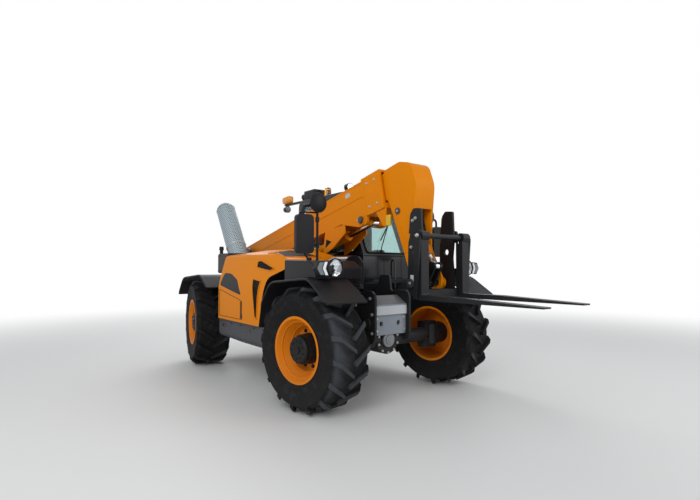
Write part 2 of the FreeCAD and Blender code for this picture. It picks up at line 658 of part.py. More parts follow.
def cab_corners(inset):
    i = inset
    return [
        (-2175 + i, FRAME_TOP + SEAT_GAP + i), (CAB_FRONT - i, FRAME_TOP + SEAT_GAP + i),
        (CAB_FRONT - i, 1570, 40), (-1040 - i, CAB_ROOF - i, 130 - i), (-2230 + i, CAB_ROOF - i, 110 - i),
        (CAB_REAR + i, 1600, 60), (CAB_REAR + i, 1255 + i * 0.4),
    ]


def side_window_corners():
    """The window of the cab's right side, in the machine's X and Z."""
    return [(-2190, 1620, 60), (-800, 1620, 60), (-1115, 2310, 70), (-2140, 2310, 70)]


def cab_shell():
    """The cab's steel shell: hollow, with its windows and its door way cut through."""
    shell = side_plate(cab_corners(0.0), CAB_IN, CAB_OUT)
    shell = shell.cut(side_plate(cab_corners(CAB_WALL), CAB_IN + CAB_WALL, CAB_OUT - CAB_WALL))
    y_in, y_out = CAB_IN, CAB_OUT
    windows = [
        side_plate(side_window_corners(), y_in - 10, y_in + CAB_WALL + 10),
        side_plate(door_corners(-DOOR_GAP), y_out - CAB_WALL - 10, y_out + 10),
        side_plate([(-2190, 1480, 50), (-1760, 1480, 50), (-1760, 2310, 50), (-2160, 2310, 50)],
                   y_out - CAB_WALL - 10, y_out + 10),
        cross_plate([(y_in + 90, 1500, 50), (y_out - 90, 1500, 50), (y_out - 90, 2290, 50), (y_in + 90, 2290, 50)],
                    CAB_REAR - 60, CAB_REAR + 200),
        cross_plate([(y_in + 75, 1600, 40), (y_out - 75, 1600, 40), (y_out - 75, 2330, 40), (y_in + 75, 2330, 40)],
                    -1150, CAB_FRONT + 50),
        flat_plate([(-1900, y_in + 130, 50), (-1250, y_in + 130, 50), (-1250, y_out - 130, 50),
                    (-1900, y_out - 130, 50)], CAB_ROOF - CAB_WALL - 10, CAB_ROOF + 10),
    ]
    return cut(shell, *windows)


def door_corners(inset):
    """The door's outline from the side; it follows the windscreen post at its front."""
    i = inset
    return [(DOOR_REAR + i, DOOR_LOW + i, 60), (DOOR_FRONT - i, DOOR_LOW + i, 60), (DOOR_FRONT - i, 1560, 80),
            (DOOR_FRONT - 330 - i, DOOR_HIGH - i, 80), (DOOR_REAR + i, DOOR_HIGH - i, 60)]


def door_window_corners():
    return [(DOOR_REAR + 75, 1330, 60), (DOOR_FRONT - 75, 1330, 60), (DOOR_FRONT - 78, 1560, 80),
            (DOOR_FRONT - 385, DOOR_HIGH - 75, 60), (DOOR_REAR + 75, DOOR_HIGH - 75, 60)]


HINGE_Y = CAB_OUT + 15.0
HINGE_X = DOOR_REAR - 16.0


def cab_door():
    leaf = side_plate(door_corners(0.0), CAB_OUT - CAB_WALL, CAB_OUT)
    leaf = leaf.cut(side_plate(door_window_corners(), CAB_OUT - CAB_WALL - 10, CAB_OUT + 10))
    handle = box(-930, -905, CAB_OUT, CAB_OUT + 30, 1180, 1300)
    knuckles = []
    for z in (1180, 2180):
        knuckles.append(Part.makeCylinder(13, 60, V(HINGE_X, HINGE_Y, z)))
        knuckles.append(box(HINGE_X, DOOR_REAR + 70, CAB_OUT, CAB_OUT + 8, z, z + 60))
    knuckles.append(box(HINGE_X, HINGE_X + 20, CAB_OUT + 4, HINGE_Y, 1180, 1240))
    return join(leaf, handle, *knuckles)


def door_glass():
    middle = CAB_OUT - CAB_WALL / 2
    pane = side_plate(door_window_corners(), middle - GLASS_T / 2, middle + GLASS_T / 2)
    return pane


def cab_glass():
    """The fixed panes, each as thick as its glass and seated in its opening."""
    y_in, y_out = CAB_IN, CAB_OUT
    shell = side_plate(cab_corners(CAB_WALL / 2), y_in + 2, y_out - 2)
    sheet = shell.cut(side_plate(cab_corners(CAB_WALL / 2 + GLASS_T), y_in, y_out))
    front = sheet.common(cross_plate([(y_in + 75, 1600, 40), (y_out - 75, 1600, 40), (y_out - 75, 2330, 40),
                                      (y_in + 75, 2330, 40)], -1150, CAB_FRONT + 50))
    rear = sheet.common(cross_plate([(y_in + 90, 1500, 50), (y_out - 90, 1500, 50), (y_out - 90, 2290, 50),
                                     (y_in + 90, 2290, 50)], CAB_REAR - 60, CAB_REAR + 200))
    roof = sheet.common(flat_plate([(-1900, y_in + 130, 50), (-1250, y_in + 130, 50), (-1250, y_out - 130, 50),
                                    (-1900, y_out - 130, 50)], CAB_ROOF - CAB_WALL - 10, CAB_ROOF + 10))
    side = side_plate(side_window_corners(), y_in + 17, y_in + 17 + GLASS_T)
    quarter = side_plate([(-2190, 1480, 50), (-1760, 1480, 50), (-1760, 2310, 50), (-2160, 2310, 50)],
                         y_out - 23, y_out - 23 + GLASS_T)
    return [front.Solids[0], rear.Solids[0], roof.Solids[0], side, quarter]


def seat():
    """The driver's seat on its plinth: cushion, back and head rest in one moulded form."""
    y0, y1 = 470.0, 930.0
    floor = FRAME_TOP + SEAT_GAP + CAB_WALL + SEAT_GAP
    plinth = box(-1840, -1480, y0 + 60, y1 - 60, floor, 1330)
    cushion = side_plate([(-1900, 1330, 30), (-1380, 1330, 50), (-1380, 1430, 50), (-1900, 1440, 30)], y0, y1)
    back = side_plate([(-1900, 1400, 30), (-1790, 1400, 40), (-1900, 2010, 50), (-2010, 2010, 50)], y0 + 10, y1 - 10)
    return join(plinth, cushion, back)


def dash_console():
    """The dash and steering column at the front of the cab."""
    y0, y1 = CAB_IN + CAB_WALL + SEAT_GAP, CAB_OUT - CAB_WALL - SEAT_GAP
    x_front = CAB_FRONT - CAB_WALL - SEAT_GAP
    dash = side_plate([(x_front, 1320, 10), (x_front, 1540, 30), (-860, 1500, 60), (-830, 1320, 20)], y0, y1)
    column = rod(V(*COLUMN_FOOT), V(*COLUMN_TOP), 45)
    foot = box(-860, -720, 590, 710, FRAME_TOP + SEAT_GAP + CAB_WALL + SEAT_GAP, 1330)
    return join(dash, column, foot)


def steering_wheel():
    """A ring with three spokes, on top of the column and square to it."""
    axis = (V(*COLUMN_TOP) - V(*COLUMN_FOOT)).normalize()
    ring_r, grip_r = 178.0, 15.0
    grip = [V(ring_r + grip_r * cos(k * pi / 3), 0, grip_r * sin(k * pi / 3)) for k in range(6)]
    ring = Part.Face(Part.makePolygon(grip + [grip[0]])).revolve(V(0, 0, 0), ALONG_Z, 360)
    hub = Part.makeCylinder(38, 50, V(0, 0, -40))
    spokes = [rod(V(0, 0, -8), V(ring_r * cos(a), ring_r * sin(a), 0), 9) for a in (0, 2.2, -2.2)]
    wheel = join(ring, hub, *spokes)
    wheel.Placement = FreeCAD.Placement(V(*COLUMN_TOP) + axis * (40 + SEAT_GAP), FreeCAD.Rotation(ALONG_Z, axis))
    return wheel


def roof_lamps():
    """Work lamps on the roof edges, the long bar lamp and their brackets."""
    pieces = []
    for x, y, r in ((-1070, 330, 55), (-1070, 1060, 55), (-2180, 330, 55), (-2180, 1060, 55)):
        lamp = rod(V(x - 35, y, CAB_ROOF + 62), V(x + 35, y, CAB_ROOF + 62), r)
        foot = box(x - 12, x + 12, y - 20, y + 20, CAB_ROOF - 60, CAB_ROOF + 40)
        pieces.append(join(lamp, foot))
    shell = side_plate(cab_corners(-SEAT_GAP), CAB_IN, CAB_OUT)
    return [p.cut(shell) for p in pieces]


def beacon():
    base = V(-1700, 420, CAB_ROOF + SEAT_GAP)
    return join(Part.makeCylinder(62, 30, base), Part.makeCone(52, 46, 110, base + V(0, 0, 30)),
                Part.makeCone(46, 26, 14, base + V(0, 0, 140)))


def fuel_tank():
    """The tank under the cab with two steps cut into its outer face."""
    tank = cross_plate([(RAIL_OUT, 450, 20), (900, 450, 80), (1090, 560, 60), (1090, 950, 20),
                        (RAIL_OUT, 950, 20)], -2100, -750)
    steps = [box(-1560, -1040, 880, 1200, z, z + 150) for z in (540, 760)]
    return cut(tank, *steps)


# Boom

def boom_outer():
    """The outer section: a box beam with a collar and slide pads at its mouth, pivot boss and lift cheeks."""
    half_w, half_h = OUTER_W / 2, OUTER_H / 2
    beam = boom_box(OUTER_REAR, OUTER_LEN, half_w, -half_h, half_h)
    collar = boom_box(OUTER_LEN - COLLAR_LEN, OUTER_LEN, half_w + COLLAR_T, -half_h - COLLAR_DROP, half_h + COLLAR_T)
    px, pz = on_boom(0, 0)
    boss = rod_y(px, pz, 78.0, -RAIL_Y + 6, RAIL_Y - 6)
    drop = half_h + LIFT_PIN_DROP
    s = LIFT_PIN_S
    cheek_corners = boom_corners([
        (s - 430, -half_h + 20), (s - 330, -half_h - 30, 60), (s - 75, -drop - 42, 60), (s + 65, -drop - 42, 60),
        (s + 110, -half_h - 20, 30), (s + 110, -half_h + 20)])
    cheeks = [side_plate(cheek_corners, y0, y1) for y0, y1 in ((-half_w, -half_w + 30), (half_w - 30, half_w))]
    qx, qz = on_boom(s, -drop)
    stubs = [rod_y(qx, qz, 37.0, y0, y1) for y0, y1 in ((-half_w - 16, -47), (47, half_w + 16))]
    body = join(beam, collar, boss, *cheeks, *stubs)
    cavity = boom_box(OUTER_REAR + 140 + 100, OUTER_LEN + 10, half_w - OUTER_T, -half_h + OUTER_T, half_h - OUTER_T)
    pin_bore = rod_y(px, pz, PIVOT_PIN_R + PIN_CLEAR, -RAIL_Y, RAIL_Y)
    pads = [boom_box(OUTER_LEN - 140, OUTER_LEN - 20, INNER_W / 2 - 30, *span)
            for span in ((INNER_H / 2 + PAD_GAP, half_h - OUTER_T + 1), (-half_h + OUTER_T - 1, -INNER_H / 2 - PAD_GAP))]
    return join(cut(body, cavity, pin_bore), *pads)


def inner_section():
    """The inner section: a box beam that slides in the outer one."""
    half_w, half_h = INNER_W / 2, INNER_H / 2
    end = OUTER_LEN + 12
    beam = boom_box(INNER_REAR, end, half_w, -half_h, half_h)
    hollow = boom_box(INNER_REAR - 10, end + 10, half_w - INNER_T, -half_h + INNER_T, half_h - INNER_T)
    tail_w, tail_h = OUTER_W / 2 - OUTER_T - PAD_GAP, OUTER_H / 2 - OUTER_T - PAD_GAP
    tail = boom_box(INNER_REAR, INNER_REAR + 150, tail_w, -tail_h, tail_h)
    return join(beam, tail).cut(hollow)


def head_corners():
    """The side of the boom head, which bends down to the carriage pin."""
    s = OUTER_LEN + 12
    top, low = on_boom(s, INNER_H / 2 + 30), on_boom(s, -INNER_H / 2)
    r = HEAD_BOSS_R
    return [
        top, (415, 2508, 120), (590, 2470, 110), (672, 2250, 260), (640, 1950, 200), (628, 1600, 200),
        (HEAD_PIN_X + r, HEAD_PIN_Z + 60, 60), (HEAD_PIN_X + r, HEAD_PIN_Z - r, r - 1),
        (HEAD_PIN_X - r + 8, HEAD_PIN_Z - r, r - 12), (489, 1551, 300), (305, 1991, 150), low,
    ]


def boom_head():
    """The fabricated head: two side plates, their top, back and front webs, and the pin bosses."""
    half = INNER_W / 2
    solid = side_plate(head_corners(), -half, half)
    t = HEAD_PLATE_T
    hollow = side_plate([(215, 2390), (560, 2440), (640, 2250), (618, 2000), (900, 2000), (900, 1100), (600, 1100),
                         (600, 1330), (512, 1560), (330, 2000), (275, 2110)], -half + t, half - t)
    head = solid.cut(hollow)
    boss = [rod_y(HEAD_PIN_X, HEAD_PIN_Z, HEAD_BOSS_R - 12, y0, y1)
            for y0, y1 in ((-half - 60, -half + t), (half - t, half + 60))]
    pins = [rod_y(TILT_BASE_X, TILT_BASE_Z, 25, -half, half)]
    head = join(head, *boss, *pins)
    return head.cut(rod_y(HEAD_PIN_X, HEAD_PIN_Z, HEAD_PIN_R + PIN_CLEAR, -half - 70, half + 70))


# Hydraulic cylinders: base pin, rod eye, and the sizes of each, in the X-Z plane

def crank_pin():
    a = radians(CRANK_ANGLE)
    return HEAD_PIN_X + CRANK_R * cos(a), HEAD_PIN_Z + CRANK_R * sin(a)


def lift_pin():
    return on_boom(LIFT_PIN_S, -OUTER_H / 2 - LIFT_PIN_DROP)


def ram(base, eye, barrel_r, rod_r, barrel_len, rod_len, eye_r, half_eye, base_pin_r):
    """A cylinder and its rod between two points (x, z); returns the barrel and the rod."""
    b, e = V(base[0], 0, base[1]), V(eye[0], 0, eye[1])
    length = (e - b).Length
    way = (e - b).normalize()
    bore_r = barrel_r - 11.0
    gland, piston = 40.0, 45.0
    wide = barrel_r + 5
    tube = join(rod(b, b + way * barrel_len, barrel_r), rod_y(base[0], base[1], barrel_r, -half_eye, half_eye))
    tube = cut(tube, rod(b + way * (2 * barrel_r + 20), b + way * (barrel_len - gland), bore_r),
               rod(b + way * (barrel_len - gland - 5), b + way * (barrel_len + 5), rod_r + PIN_CLEAR),
               rod_y(base[0], base[1], base_pin_r + PIN_CLEAR, -wide, wide))
    shaft = join(rod(b + way * (length - rod_len), e, rod_r),
                 rod(b + way * (length - rod_len), b + way * (length - rod_len + piston), bore_r - PIN_CLEAR),
                 rod_y(eye[0], eye[1], eye_r, -half_eye, half_eye))
    return tube, shaft


# Tool carriage and forks

def tool_carriage():
    """The quick hitch: two side plates on the head's pin, the tilt crank and the hitch stubs."""
    y0, y1 = CARRIAGE_Y, CARRIAGE_Y + CARRIAGE_T
    corners = [(648, 1190, 50), (700, 1122, 40), (838, 1122, 20), (838, 1300, 40), (822, 1500, 60), (840, 1660, 30),
               (840, 1775, 30), (700, 1775, 60), (660, 1640, 60)]
    plate = side_plate(corners, y0, y1)
    plate = plate.cut(rod_y(745, 1560, 30, y0 - 5, y1 + 5))
    cx, cz = crank_pin()
    pieces = both_sides(plate)
    pieces.append(rod_y(HEAD_PIN_X, HEAD_PIN_Z, HEAD_PIN_R, -y1 - 12, y1 + 12))
    pieces.append(side_plate([(775, 1125), (835, 1125), (835, 1195), (775, 1195)], -y0, y0))
    ear = join(rod_y(cx, cz, 44, 32, 57), rod_y(HEAD_PIN_X, HEAD_PIN_Z, 46, 32, 57),
               side_plate([(HEAD_PIN_X - 15, HEAD_PIN_Z + 30), (HEAD_PIN_X + 40, HEAD_PIN_Z - 15),
                           (cx + 38, cz - 20), (cx - 22, cz + 36)], 32, 57))
    pieces += both_sides(join(ear, rod_y(cx, cz, 28, 31, 68)))
    for x, z, r in HITCH_STUBS:
        pieces += both_sides(rod_y(x, z, r, y1 - 5, HOOK_Y + 60))
    return join(*pieces)


def fork_frame():
    """The fork frame that hangs on the hitch stubs: hooks, end plates, top shaft and lower bar."""
    back = FORK_SHAFT_X - 53
    y0, y1 = HOOK_Y, HOOK_Y + 25
    hook = side_plate([(760, 1690, 20), (800, 1660), (842, 1650), (842, 1200), (780, 1200), (770, 1120, 20),
                       (back + 24, 1120), (back + 24, 1640), (back, 1650), (back, 1775, 30), (775, 1775, 40)], y0, y1)
    hook = cut(hook, *[rod_y(x, z, r + PIN_CLEAR, y0 - 5, y1 + 5) for x, z, r in HITCH_STUBS])
    end = side_plate([(back, 1110, 15), (back + 43, 1110, 15), (940, 1690, 35), (FORK_SHAFT_X, 1740, 30),
                      (865, 1700, 30)], FORK_FRAME_HALF - 20, FORK_FRAME_HALF)
    half = FORK_FRAME_HALF
    bars = [box(back, back + 26, -half, half, 1110, 1190), *both_sides(box(back, back + 26, y0, half, 1560, 1640))]
    shaft = rod_y(FORK_SHAFT_X, FORK_SHAFT_Z, FORK_SHAFT_R, -half, half)
    return join(*both_sides(hook), *both_sides(end), shaft, *bars)


def forks():
    """Two tines: an eye on the shaft, an upright shank and a tapered blade."""
    y0, y1 = TINE_Y - TINE_W / 2, TINE_Y + TINE_W / 2
    back = FORK_SHAFT_X - TINE_T / 2 + 5
    face = back + TINE_T
    tip = face + TINE_LEN
    blade = side_plate([(back, TINE_Z, 25), (tip, TINE_Z + 2), (tip, TINE_Z + 14), (face + 420, TINE_Z + TINE_T),
                        (face, TINE_Z + TINE_T, 20), (face, 1660), (back, 1660)], y0, y1)
    eye = rod_y(FORK_SHAFT_X + 2, FORK_SHAFT_Z, FORK_SHAFT_R + 22, y0, y1)
    tine = join(blade, eye).cut(rod_y(FORK_SHAFT_X, FORK_SHAFT_Z, FORK_SHAFT_R + PIN_CLEAR, y0 - 5, y1 + 5))
    return both_sides(tine)


def tail_lamps():
    """A lamp bar on the rear slope of each rear fender."""
    block = side_plate([(-3520, 1090, 10), (-3400, 1090), (-3400, 1175), (-3500, 1175, 20)], 860, 1060)
    return both_sides(block.cut(over_fender(-WHEELBASE, 800, 1100)))


WHEELS = [
    # name, right side, axle x, rest steering angle
    ("front_right", True, 0.0, STEER_FRONT),
    ("front_left", False, 0.0, STEER_FRONT),
    ("rear_right", True, -WHEELBASE, STEER_REAR),
    ("rear_left", False, -WHEELBASE, STEER_REAR),
]

def write(name, shape):
    """Move a piece or a list of pieces to the machine's origin and write it."""
    solid = Part.makeCompound(shape) if isinstance(shape, list) else shape
    solid = solid.copy()
    solid.translate(V(-ORIGIN_X, 0, 0))
    solid.exportStep("parts/" + name + ".step")


def main():
    os.makedirs("parts", exist_ok=True)
    tyre_form, rim_form, knuckle_form = tyre(), rim(), knuckle()
    for name, right_side, axle_x, steer in WHEELS:
        write("tyre_" + name, placed(tyre_form, right_side, axle_x, steer, False))
        write("rim_" + name, placed(rim_form, right_side, axle_x, steer, False))
        write("knuckle_" + name, placed(knuckle_form, right_side, axle_x, steer, True))
    write("front_axle", axle(0.0, 1))
    write("rear_axle", axle(-WHEELBASE, -1))
    lift = ram((LIFT_BASE_X, LIFT_BASE_Z), lift_pin(), **LIFT_SIZES)
    tilt = ram((TILT_BASE_X, TILT_BASE_Z), crank_pin(), **TILT_SIZES)
    pieces = {
        "chassis_frame": chassis_frame, "face_plate": face_plate,
        "rear_weight": rear_weight, "gearbox_and_shafts": gearbox, "hood_shell": hood_shell,
        "engine_skirt": engine_skirt, "bay_wall": bay_wall, "engine_block": engine_block,
        "exhaust_base": exhaust_base, "exhaust_guard": exhaust_guard, "front_cowl": front_cowl,
        "tower_cover": tower_cover, "fenders": fenders,
        "headlights": headlights, "mirrors": mirrors,
        "cab_shell": cab_shell, "cab_door": cab_door, "door_glass": door_glass, "cab_glass": cab_glass,
        "seat": seat, "dash_console": dash_console, "steering_wheel": steering_wheel,
        "roof_lamps": roof_lamps, "beacon": beacon, "fuel_tank": fuel_tank, "boom_outer": boom_outer,
        "boom_inner": inner_section, "boom_head": boom_head,
        "tool_carriage": tool_carriage, "fork_frame": fork_frame, "forks": forks, "tail_lamps": tail_lamps,
    }
    for name, make in pieces.items():
        write(name, make())
    for name, shape in (("lift_barrel", lift[0]), ("lift_rod", lift[1]), ("tilt_barrel", tilt[0]),
                        ("tilt_rod", tilt[1])):
        write(name, shape)


if __name__ == "__main__":
    main()
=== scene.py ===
import json
from math import cos, pi, radians, sin
import bmesh
import bpy
from mathutils import Matrix, Vector
from mathutils.bvhtree import BVHTree

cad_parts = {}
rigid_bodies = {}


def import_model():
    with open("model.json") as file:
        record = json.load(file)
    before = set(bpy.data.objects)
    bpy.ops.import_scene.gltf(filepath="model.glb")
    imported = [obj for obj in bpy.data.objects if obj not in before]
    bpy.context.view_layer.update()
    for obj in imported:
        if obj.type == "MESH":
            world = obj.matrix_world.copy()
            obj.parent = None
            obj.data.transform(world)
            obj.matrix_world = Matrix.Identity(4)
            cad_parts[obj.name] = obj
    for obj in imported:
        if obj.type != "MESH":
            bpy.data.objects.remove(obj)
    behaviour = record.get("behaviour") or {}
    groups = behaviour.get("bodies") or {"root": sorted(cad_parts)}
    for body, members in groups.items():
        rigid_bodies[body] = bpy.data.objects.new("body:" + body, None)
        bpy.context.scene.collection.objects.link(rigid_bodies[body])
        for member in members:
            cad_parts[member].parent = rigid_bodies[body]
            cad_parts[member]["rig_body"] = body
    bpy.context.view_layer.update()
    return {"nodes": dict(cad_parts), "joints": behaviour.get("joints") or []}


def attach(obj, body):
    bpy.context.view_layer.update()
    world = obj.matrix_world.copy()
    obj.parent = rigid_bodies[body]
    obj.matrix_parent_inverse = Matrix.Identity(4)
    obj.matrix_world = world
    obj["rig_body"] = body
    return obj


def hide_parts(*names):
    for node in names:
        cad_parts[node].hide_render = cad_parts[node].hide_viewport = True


# The telehandler's looks, in metres: +X forward, +Y left, +Z up. Places on the machine are measured from
# the middle of the front axle on the floor, and places on the boom from its pivot along its slope.

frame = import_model()

JOINTS = {j["name"]: j for j in frame["joints"]}
FRONT_X = JOINTS["front_left_steering"]["pos_m"][0]
REAR_X = JOINTS["rear_left_steering"]["pos_m"][0]
AXLE_Z = JOINTS["front_left_steering"]["pos_m"][2]
PIVOT = Vector(JOINTS["boom_lift"]["pos_m"])
SLOPE = Vector(JOINTS["boom_extend"]["axis"]).normalized()
RISE = Vector((-SLOPE.z, 0, SLOPE.x))
X, Y, Z = Vector((1, 0, 0)), Vector((0, 1, 0)), Vector((0, 0, 1))
CORNERS = ("front_right", "front_left", "rear_right", "rear_left")


def spot(x, y, z):
    """A place measured from the middle of the front axle, on the floor."""
    return Vector((FRONT_X + x, y, z))


def on_boom(s, y, t):
    """A place s along the boom from its pivot, y to the left and t above its middle line."""
    return PIVOT + SLOPE * s + Y * y + RISE * t


STACK_FOOT = spot(-2.222, -.75, 1.60)
STACK_LEAN = radians(35)
LEAN = Vector((-sin(STACK_LEAN), 0, cos(STACK_LEAN)))


# Finishes

class Value:
    """A shader socket that takes part in plain arithmetic."""

    def __init__(self, nodes, socket):
        self.nodes, self.socket = nodes, socket

    def maths(self, operation, a, b=0.0):
        return self.nodes.node("ShaderNodeMath", {"operation": operation}, {0: a, 1: b})

    def __add__(self, other):
        return self.maths("ADD", self, other)

    def __sub__(self, other):
        return self.maths("SUBTRACT", self, other)

    def __rsub__(self, other):
        return self.maths("SUBTRACT", other, self)

    def __mul__(self, other):
        return self.maths("MULTIPLY", self, other)

    def __truediv__(self, other):
        return self.maths("DIVIDE", self, other)

    def __pow__(self, other):
        return self.maths("POWER", self, other)

    __radd__, __rmul__ = __add__, __mul__

    def clamp(self):
        return self.nodes.node("ShaderNodeClamp", {}, {0: self})

    def step(self, edge, soft):
        """0 below the edge and 1 above it, over a soft width."""
        inputs = {"Value": self, "From Min": edge - soft, "From Max": edge + soft}
        return self.nodes.node("ShaderNodeMapRange", {"interpolation_type": "SMOOTHSTEP"}, inputs)


class Nodes:
    """A node tree, with one way to add any node to it."""

    def __init__(self, tree):
        self.tree = tree

    def node(self, kind, settings=None, inputs=None, output=0):
        """Any node: its settings first, then the values or links of its sockets."""
        made = self.tree.nodes.new(kind)
        for key, value in (settings or {}).items():
            setattr(made, key, value)
        for key, value in (inputs or {}).items():
            self.put(made.inputs[key], value)
        return Value(self, made.outputs[output])

    def put(self, socket, value):
        """Link a value to a socket, or set the socket to a number or colour."""
        if isinstance(value, Value):
            self.tree.links.new(value.socket, socket)
        else:
            socket.default_value = value


class Finish(Nodes):
    """One procedural material on a Principled shader."""

    def __init__(self, name, **constants):
        self.material = bpy.data.materials.new(name)
        self.material.use_nodes = True
        super().__init__(self.material.node_tree)
        self.shader = self.tree.nodes["Principled BSDF"]
        self.place = self.node("ShaderNodeTexCoord", output="Object")
        self.set(**constants)

    def set(self, **inputs):
        """Feed the shader's own sockets, named with underscores for spaces."""
        for key, value in inputs.items():
            self.put(self.shader.inputs[key.replace("_", " ")], value)
        return self

    def axis(self, which):
        return self.node("ShaderNodeSeparateXYZ", {}, {0: self.place}, which)

    def noise(self, scale, detail=3.0, rough=0.5, stretch=None):
        where = self.place
        if stretch:
            where = self.node("ShaderNodeMapping", {}, {"Vector": self.place, "Scale": stretch})
        inputs = {"Vector": where, "Scale": scale, "Detail": detail, "Roughness": rough}
        return self.node("ShaderNodeTexNoise", {}, inputs, "Fac")

    def mix(self, factor, a, b):
        return self.node("ShaderNodeMix", {"data_type": "RGBA"}, {0: factor, 6: a, 7: b}, 2)

    def bump(self, height, strength, depth):
        inputs = {"Height": height, "Strength": strength, "Distance": depth}
        return self.set(Normal=self.node("ShaderNodeBump", {}, inputs))


DUST = (0.22, 0.205, 0.18, 1)
MUD = (0.075, 0.070, 0.064, 1)
# LUG: a paler, bluer tread colour, used as a painted sheen of light on the lug tops and for worn patches
LUG = (0.050, 0.055, 0.063, 1)
# HOLE: painted shade, the dark inner pipe seen through the exhaust sleeve's holes
HOLE = (0.06, 0.075, 0.085, 1)
LUG_HEIGHT = 0.022
VENT_PITCH = 0.008
HOLE_PITCH = 0.026
STACK_RADIUS = 0.135

# How fine each pattern is, as the scale of its noise, cells or ribs
BROAD_TONE, DUST_PATCHES, FILM, MOTTLE, SMUDGES, WEAR = 1.1, 2.2, 3.0, 7.0, 9.0, 14.0
LINT, DUST_GRAINS, STREAKS, SCUFFS, COARSE_GRAIN = 20.0, 38.0, 40.0, 60.0, 120.0
RIBS, PEEL, METAL_GRAIN, LEATHER, THREADS, FINE_GRAIN = 190.0, 260.0, 300.0, 420.0, 500.0, 900.0


def shade(colour, k):
    """A colour made lighter or darker."""
    return tuple(c * k for c in colour[:3]) + (1,)


def dusty(finish, amount, height=1.3):
    """How much dust lies at a place: patchy, and thicker towards the floor."""
    low = (1.0 - finish.axis("Z") / height).clamp()
    patches = finish.noise(DUST_PATCHES, 6.0, 0.62)
    fine = finish.noise(DUST_GRAINS, 4.0, 0.7)
    cover = (patches * 0.75 + fine * 0.35 - 0.52 + low * 0.42).clamp()
    return (cover * (low * 0.85 + 0.15) * amount).clamp()


def paint(name, colour, roughness=0.34, dust=0.5, coat=0.02, peel=0.05, gloss=0.2):
    """Sprayed paint with a thin clear coat, fine orange peel, faint scuffs, and dust low down."""
    f = Finish(name, Coat_Weight=coat, Coat_Roughness=0.16, IOR=1.5, Specular_IOR_Level=gloss)
    layer = dusty(f, dust)
    tone = f.noise(BROAD_TONE, 3.0)
    scuff = f.noise(SCUFFS, 5.0, 0.75, (1.0, 1.0, 0.08)).step(0.69, 0.03) * 0.35
    base = f.mix(tone.step(0.55, 0.3) * 0.35, colour, shade(colour, 0.86))
    base = f.mix(scuff, base, shade(colour, 0.62))
    rough = f.noise(SMUDGES, 4.0) * 0.1 + (roughness - 0.05) + layer * 0.42 + scuff * 0.2
    f.set(Base_Color=f.mix(layer, base, DUST), Roughness=rough.clamp())
    return f.bump(f.noise(PEEL, 2.0), peel, 0.001)


def rubber(name, colour, dust, height=1.5, lugs=False):
    """Dull rubber with mud low down and, on a tyre, a painted sheen of light on the tops of its lugs."""
    f = Finish(name, IOR=1.45, Specular_IOR_Level=0.14)
    layer = dusty(f, dust, height)
    if lugs:
        front, rear = f.axis("X") - FRONT_X, f.axis("X") - REAR_X
        up = f.axis("Z") - AXLE_Z
        nearer = front.maths("MINIMUM", front * front, rear * rear)
        # Painted sheen: the outermost faces of the tread get the paler LUG colour, as light falling on them
        lug_top_sheen = ((nearer + up * up) ** 0.5).step(AXLE_Z - LUG_HEIGHT, 0.012)
        colour = f.mix(lug_top_sheen, colour, LUG)
    base = f.mix(layer, colour, MUD)
    base = f.mix(f.noise(WEAR, 5.0, 0.7).step(0.6, 0.12) * 0.25, base, LUG)
    f.set(Base_Color=base, Roughness=(0.72 + layer * 0.25).clamp())
    return f.bump(f.noise(COARSE_GRAIN, 4.0, 0.7) + f.noise(FINE_GRAIN, 2.0) * 0.4, 0.25, 0.002)


def plastic(name, colour, roughness=0.5, grain=0.25, dust=0.5):
    """Moulded plastic with a fine leather grain."""
    f = Finish(name, IOR=1.46, Specular_IOR_Level=0.2)
    layer = dusty(f, dust)
    cells = f.node("ShaderNodeTexVoronoi", {}, {"Vector": f.place, "Scale": LEATHER}, "Distance")
    rough = f.noise(MOTTLE) * 0.12 + (roughness - 0.06) + layer * 0.3
    f.set(Base_Color=f.mix(layer, colour, DUST), Roughness=rough.clamp())
    return f.bump(cells, grain, 0.0006)


def metal(name, colour, roughness, smear=0.12, dust=0.3):
    """Bare or plated metal with upright smears, dulled by dust."""
    f = Finish(name, IOR=1.5)
    layer = dusty(f, dust)
    streak = f.noise(STREAKS, 3.0, 0.6, (1.0, 1.0, 0.1))
    base = f.mix(streak * 0.4, colour, shade(colour, 0.7))
    rough = roughness + streak * smear + layer * 0.5
    f.set(Base_Color=f.mix(layer, base, DUST), Metallic=1.0 - layer, Roughness=rough.clamp())
    return f.bump(f.noise(METAL_GRAIN, 2.0), 0.04, 0.0005)


def clear(name, colour, roughness=0.02):
    """Tinted glass or plastic with a faint film."""
    f = Finish(name, Transmission_Weight=1.0, IOR=1.45)
    film = f.noise(FILM, 5.0, 0.6).step(0.62, 0.2) * 0.06
    return f.set(Base_Color=colour, Roughness=film + roughness)


def grille(name, colour):
    """Pressed vent mesh: small square holes in rows, the holes painted dark as the shade inside the vent."""
    f = Finish(name, IOR=1.3, Specular_IOR_Level=0.05)
    rows = [f.place.maths("FRACT", f.axis(k) / VENT_PITCH) - 0.5 for k in ("X", "Y")]
    wires = [r.maths("ABSOLUTE", r).step(0.34, 0.08) for r in rows]
    mesh = f.place.maths("MAXIMUM", wires[0], wires[1])
    layer = dusty(f, 0.15)
    # Painted shade: the holes are darker than the wires, standing for the shaded inside seen through them
    base = f.mix(mesh, shade(colour, 0.3), shade(colour, 1.5))
    f.set(Base_Color=f.mix(layer, base, DUST), Roughness=layer * 0.3 + 0.5)
    return f.bump(mesh, 0.5, 0.002)


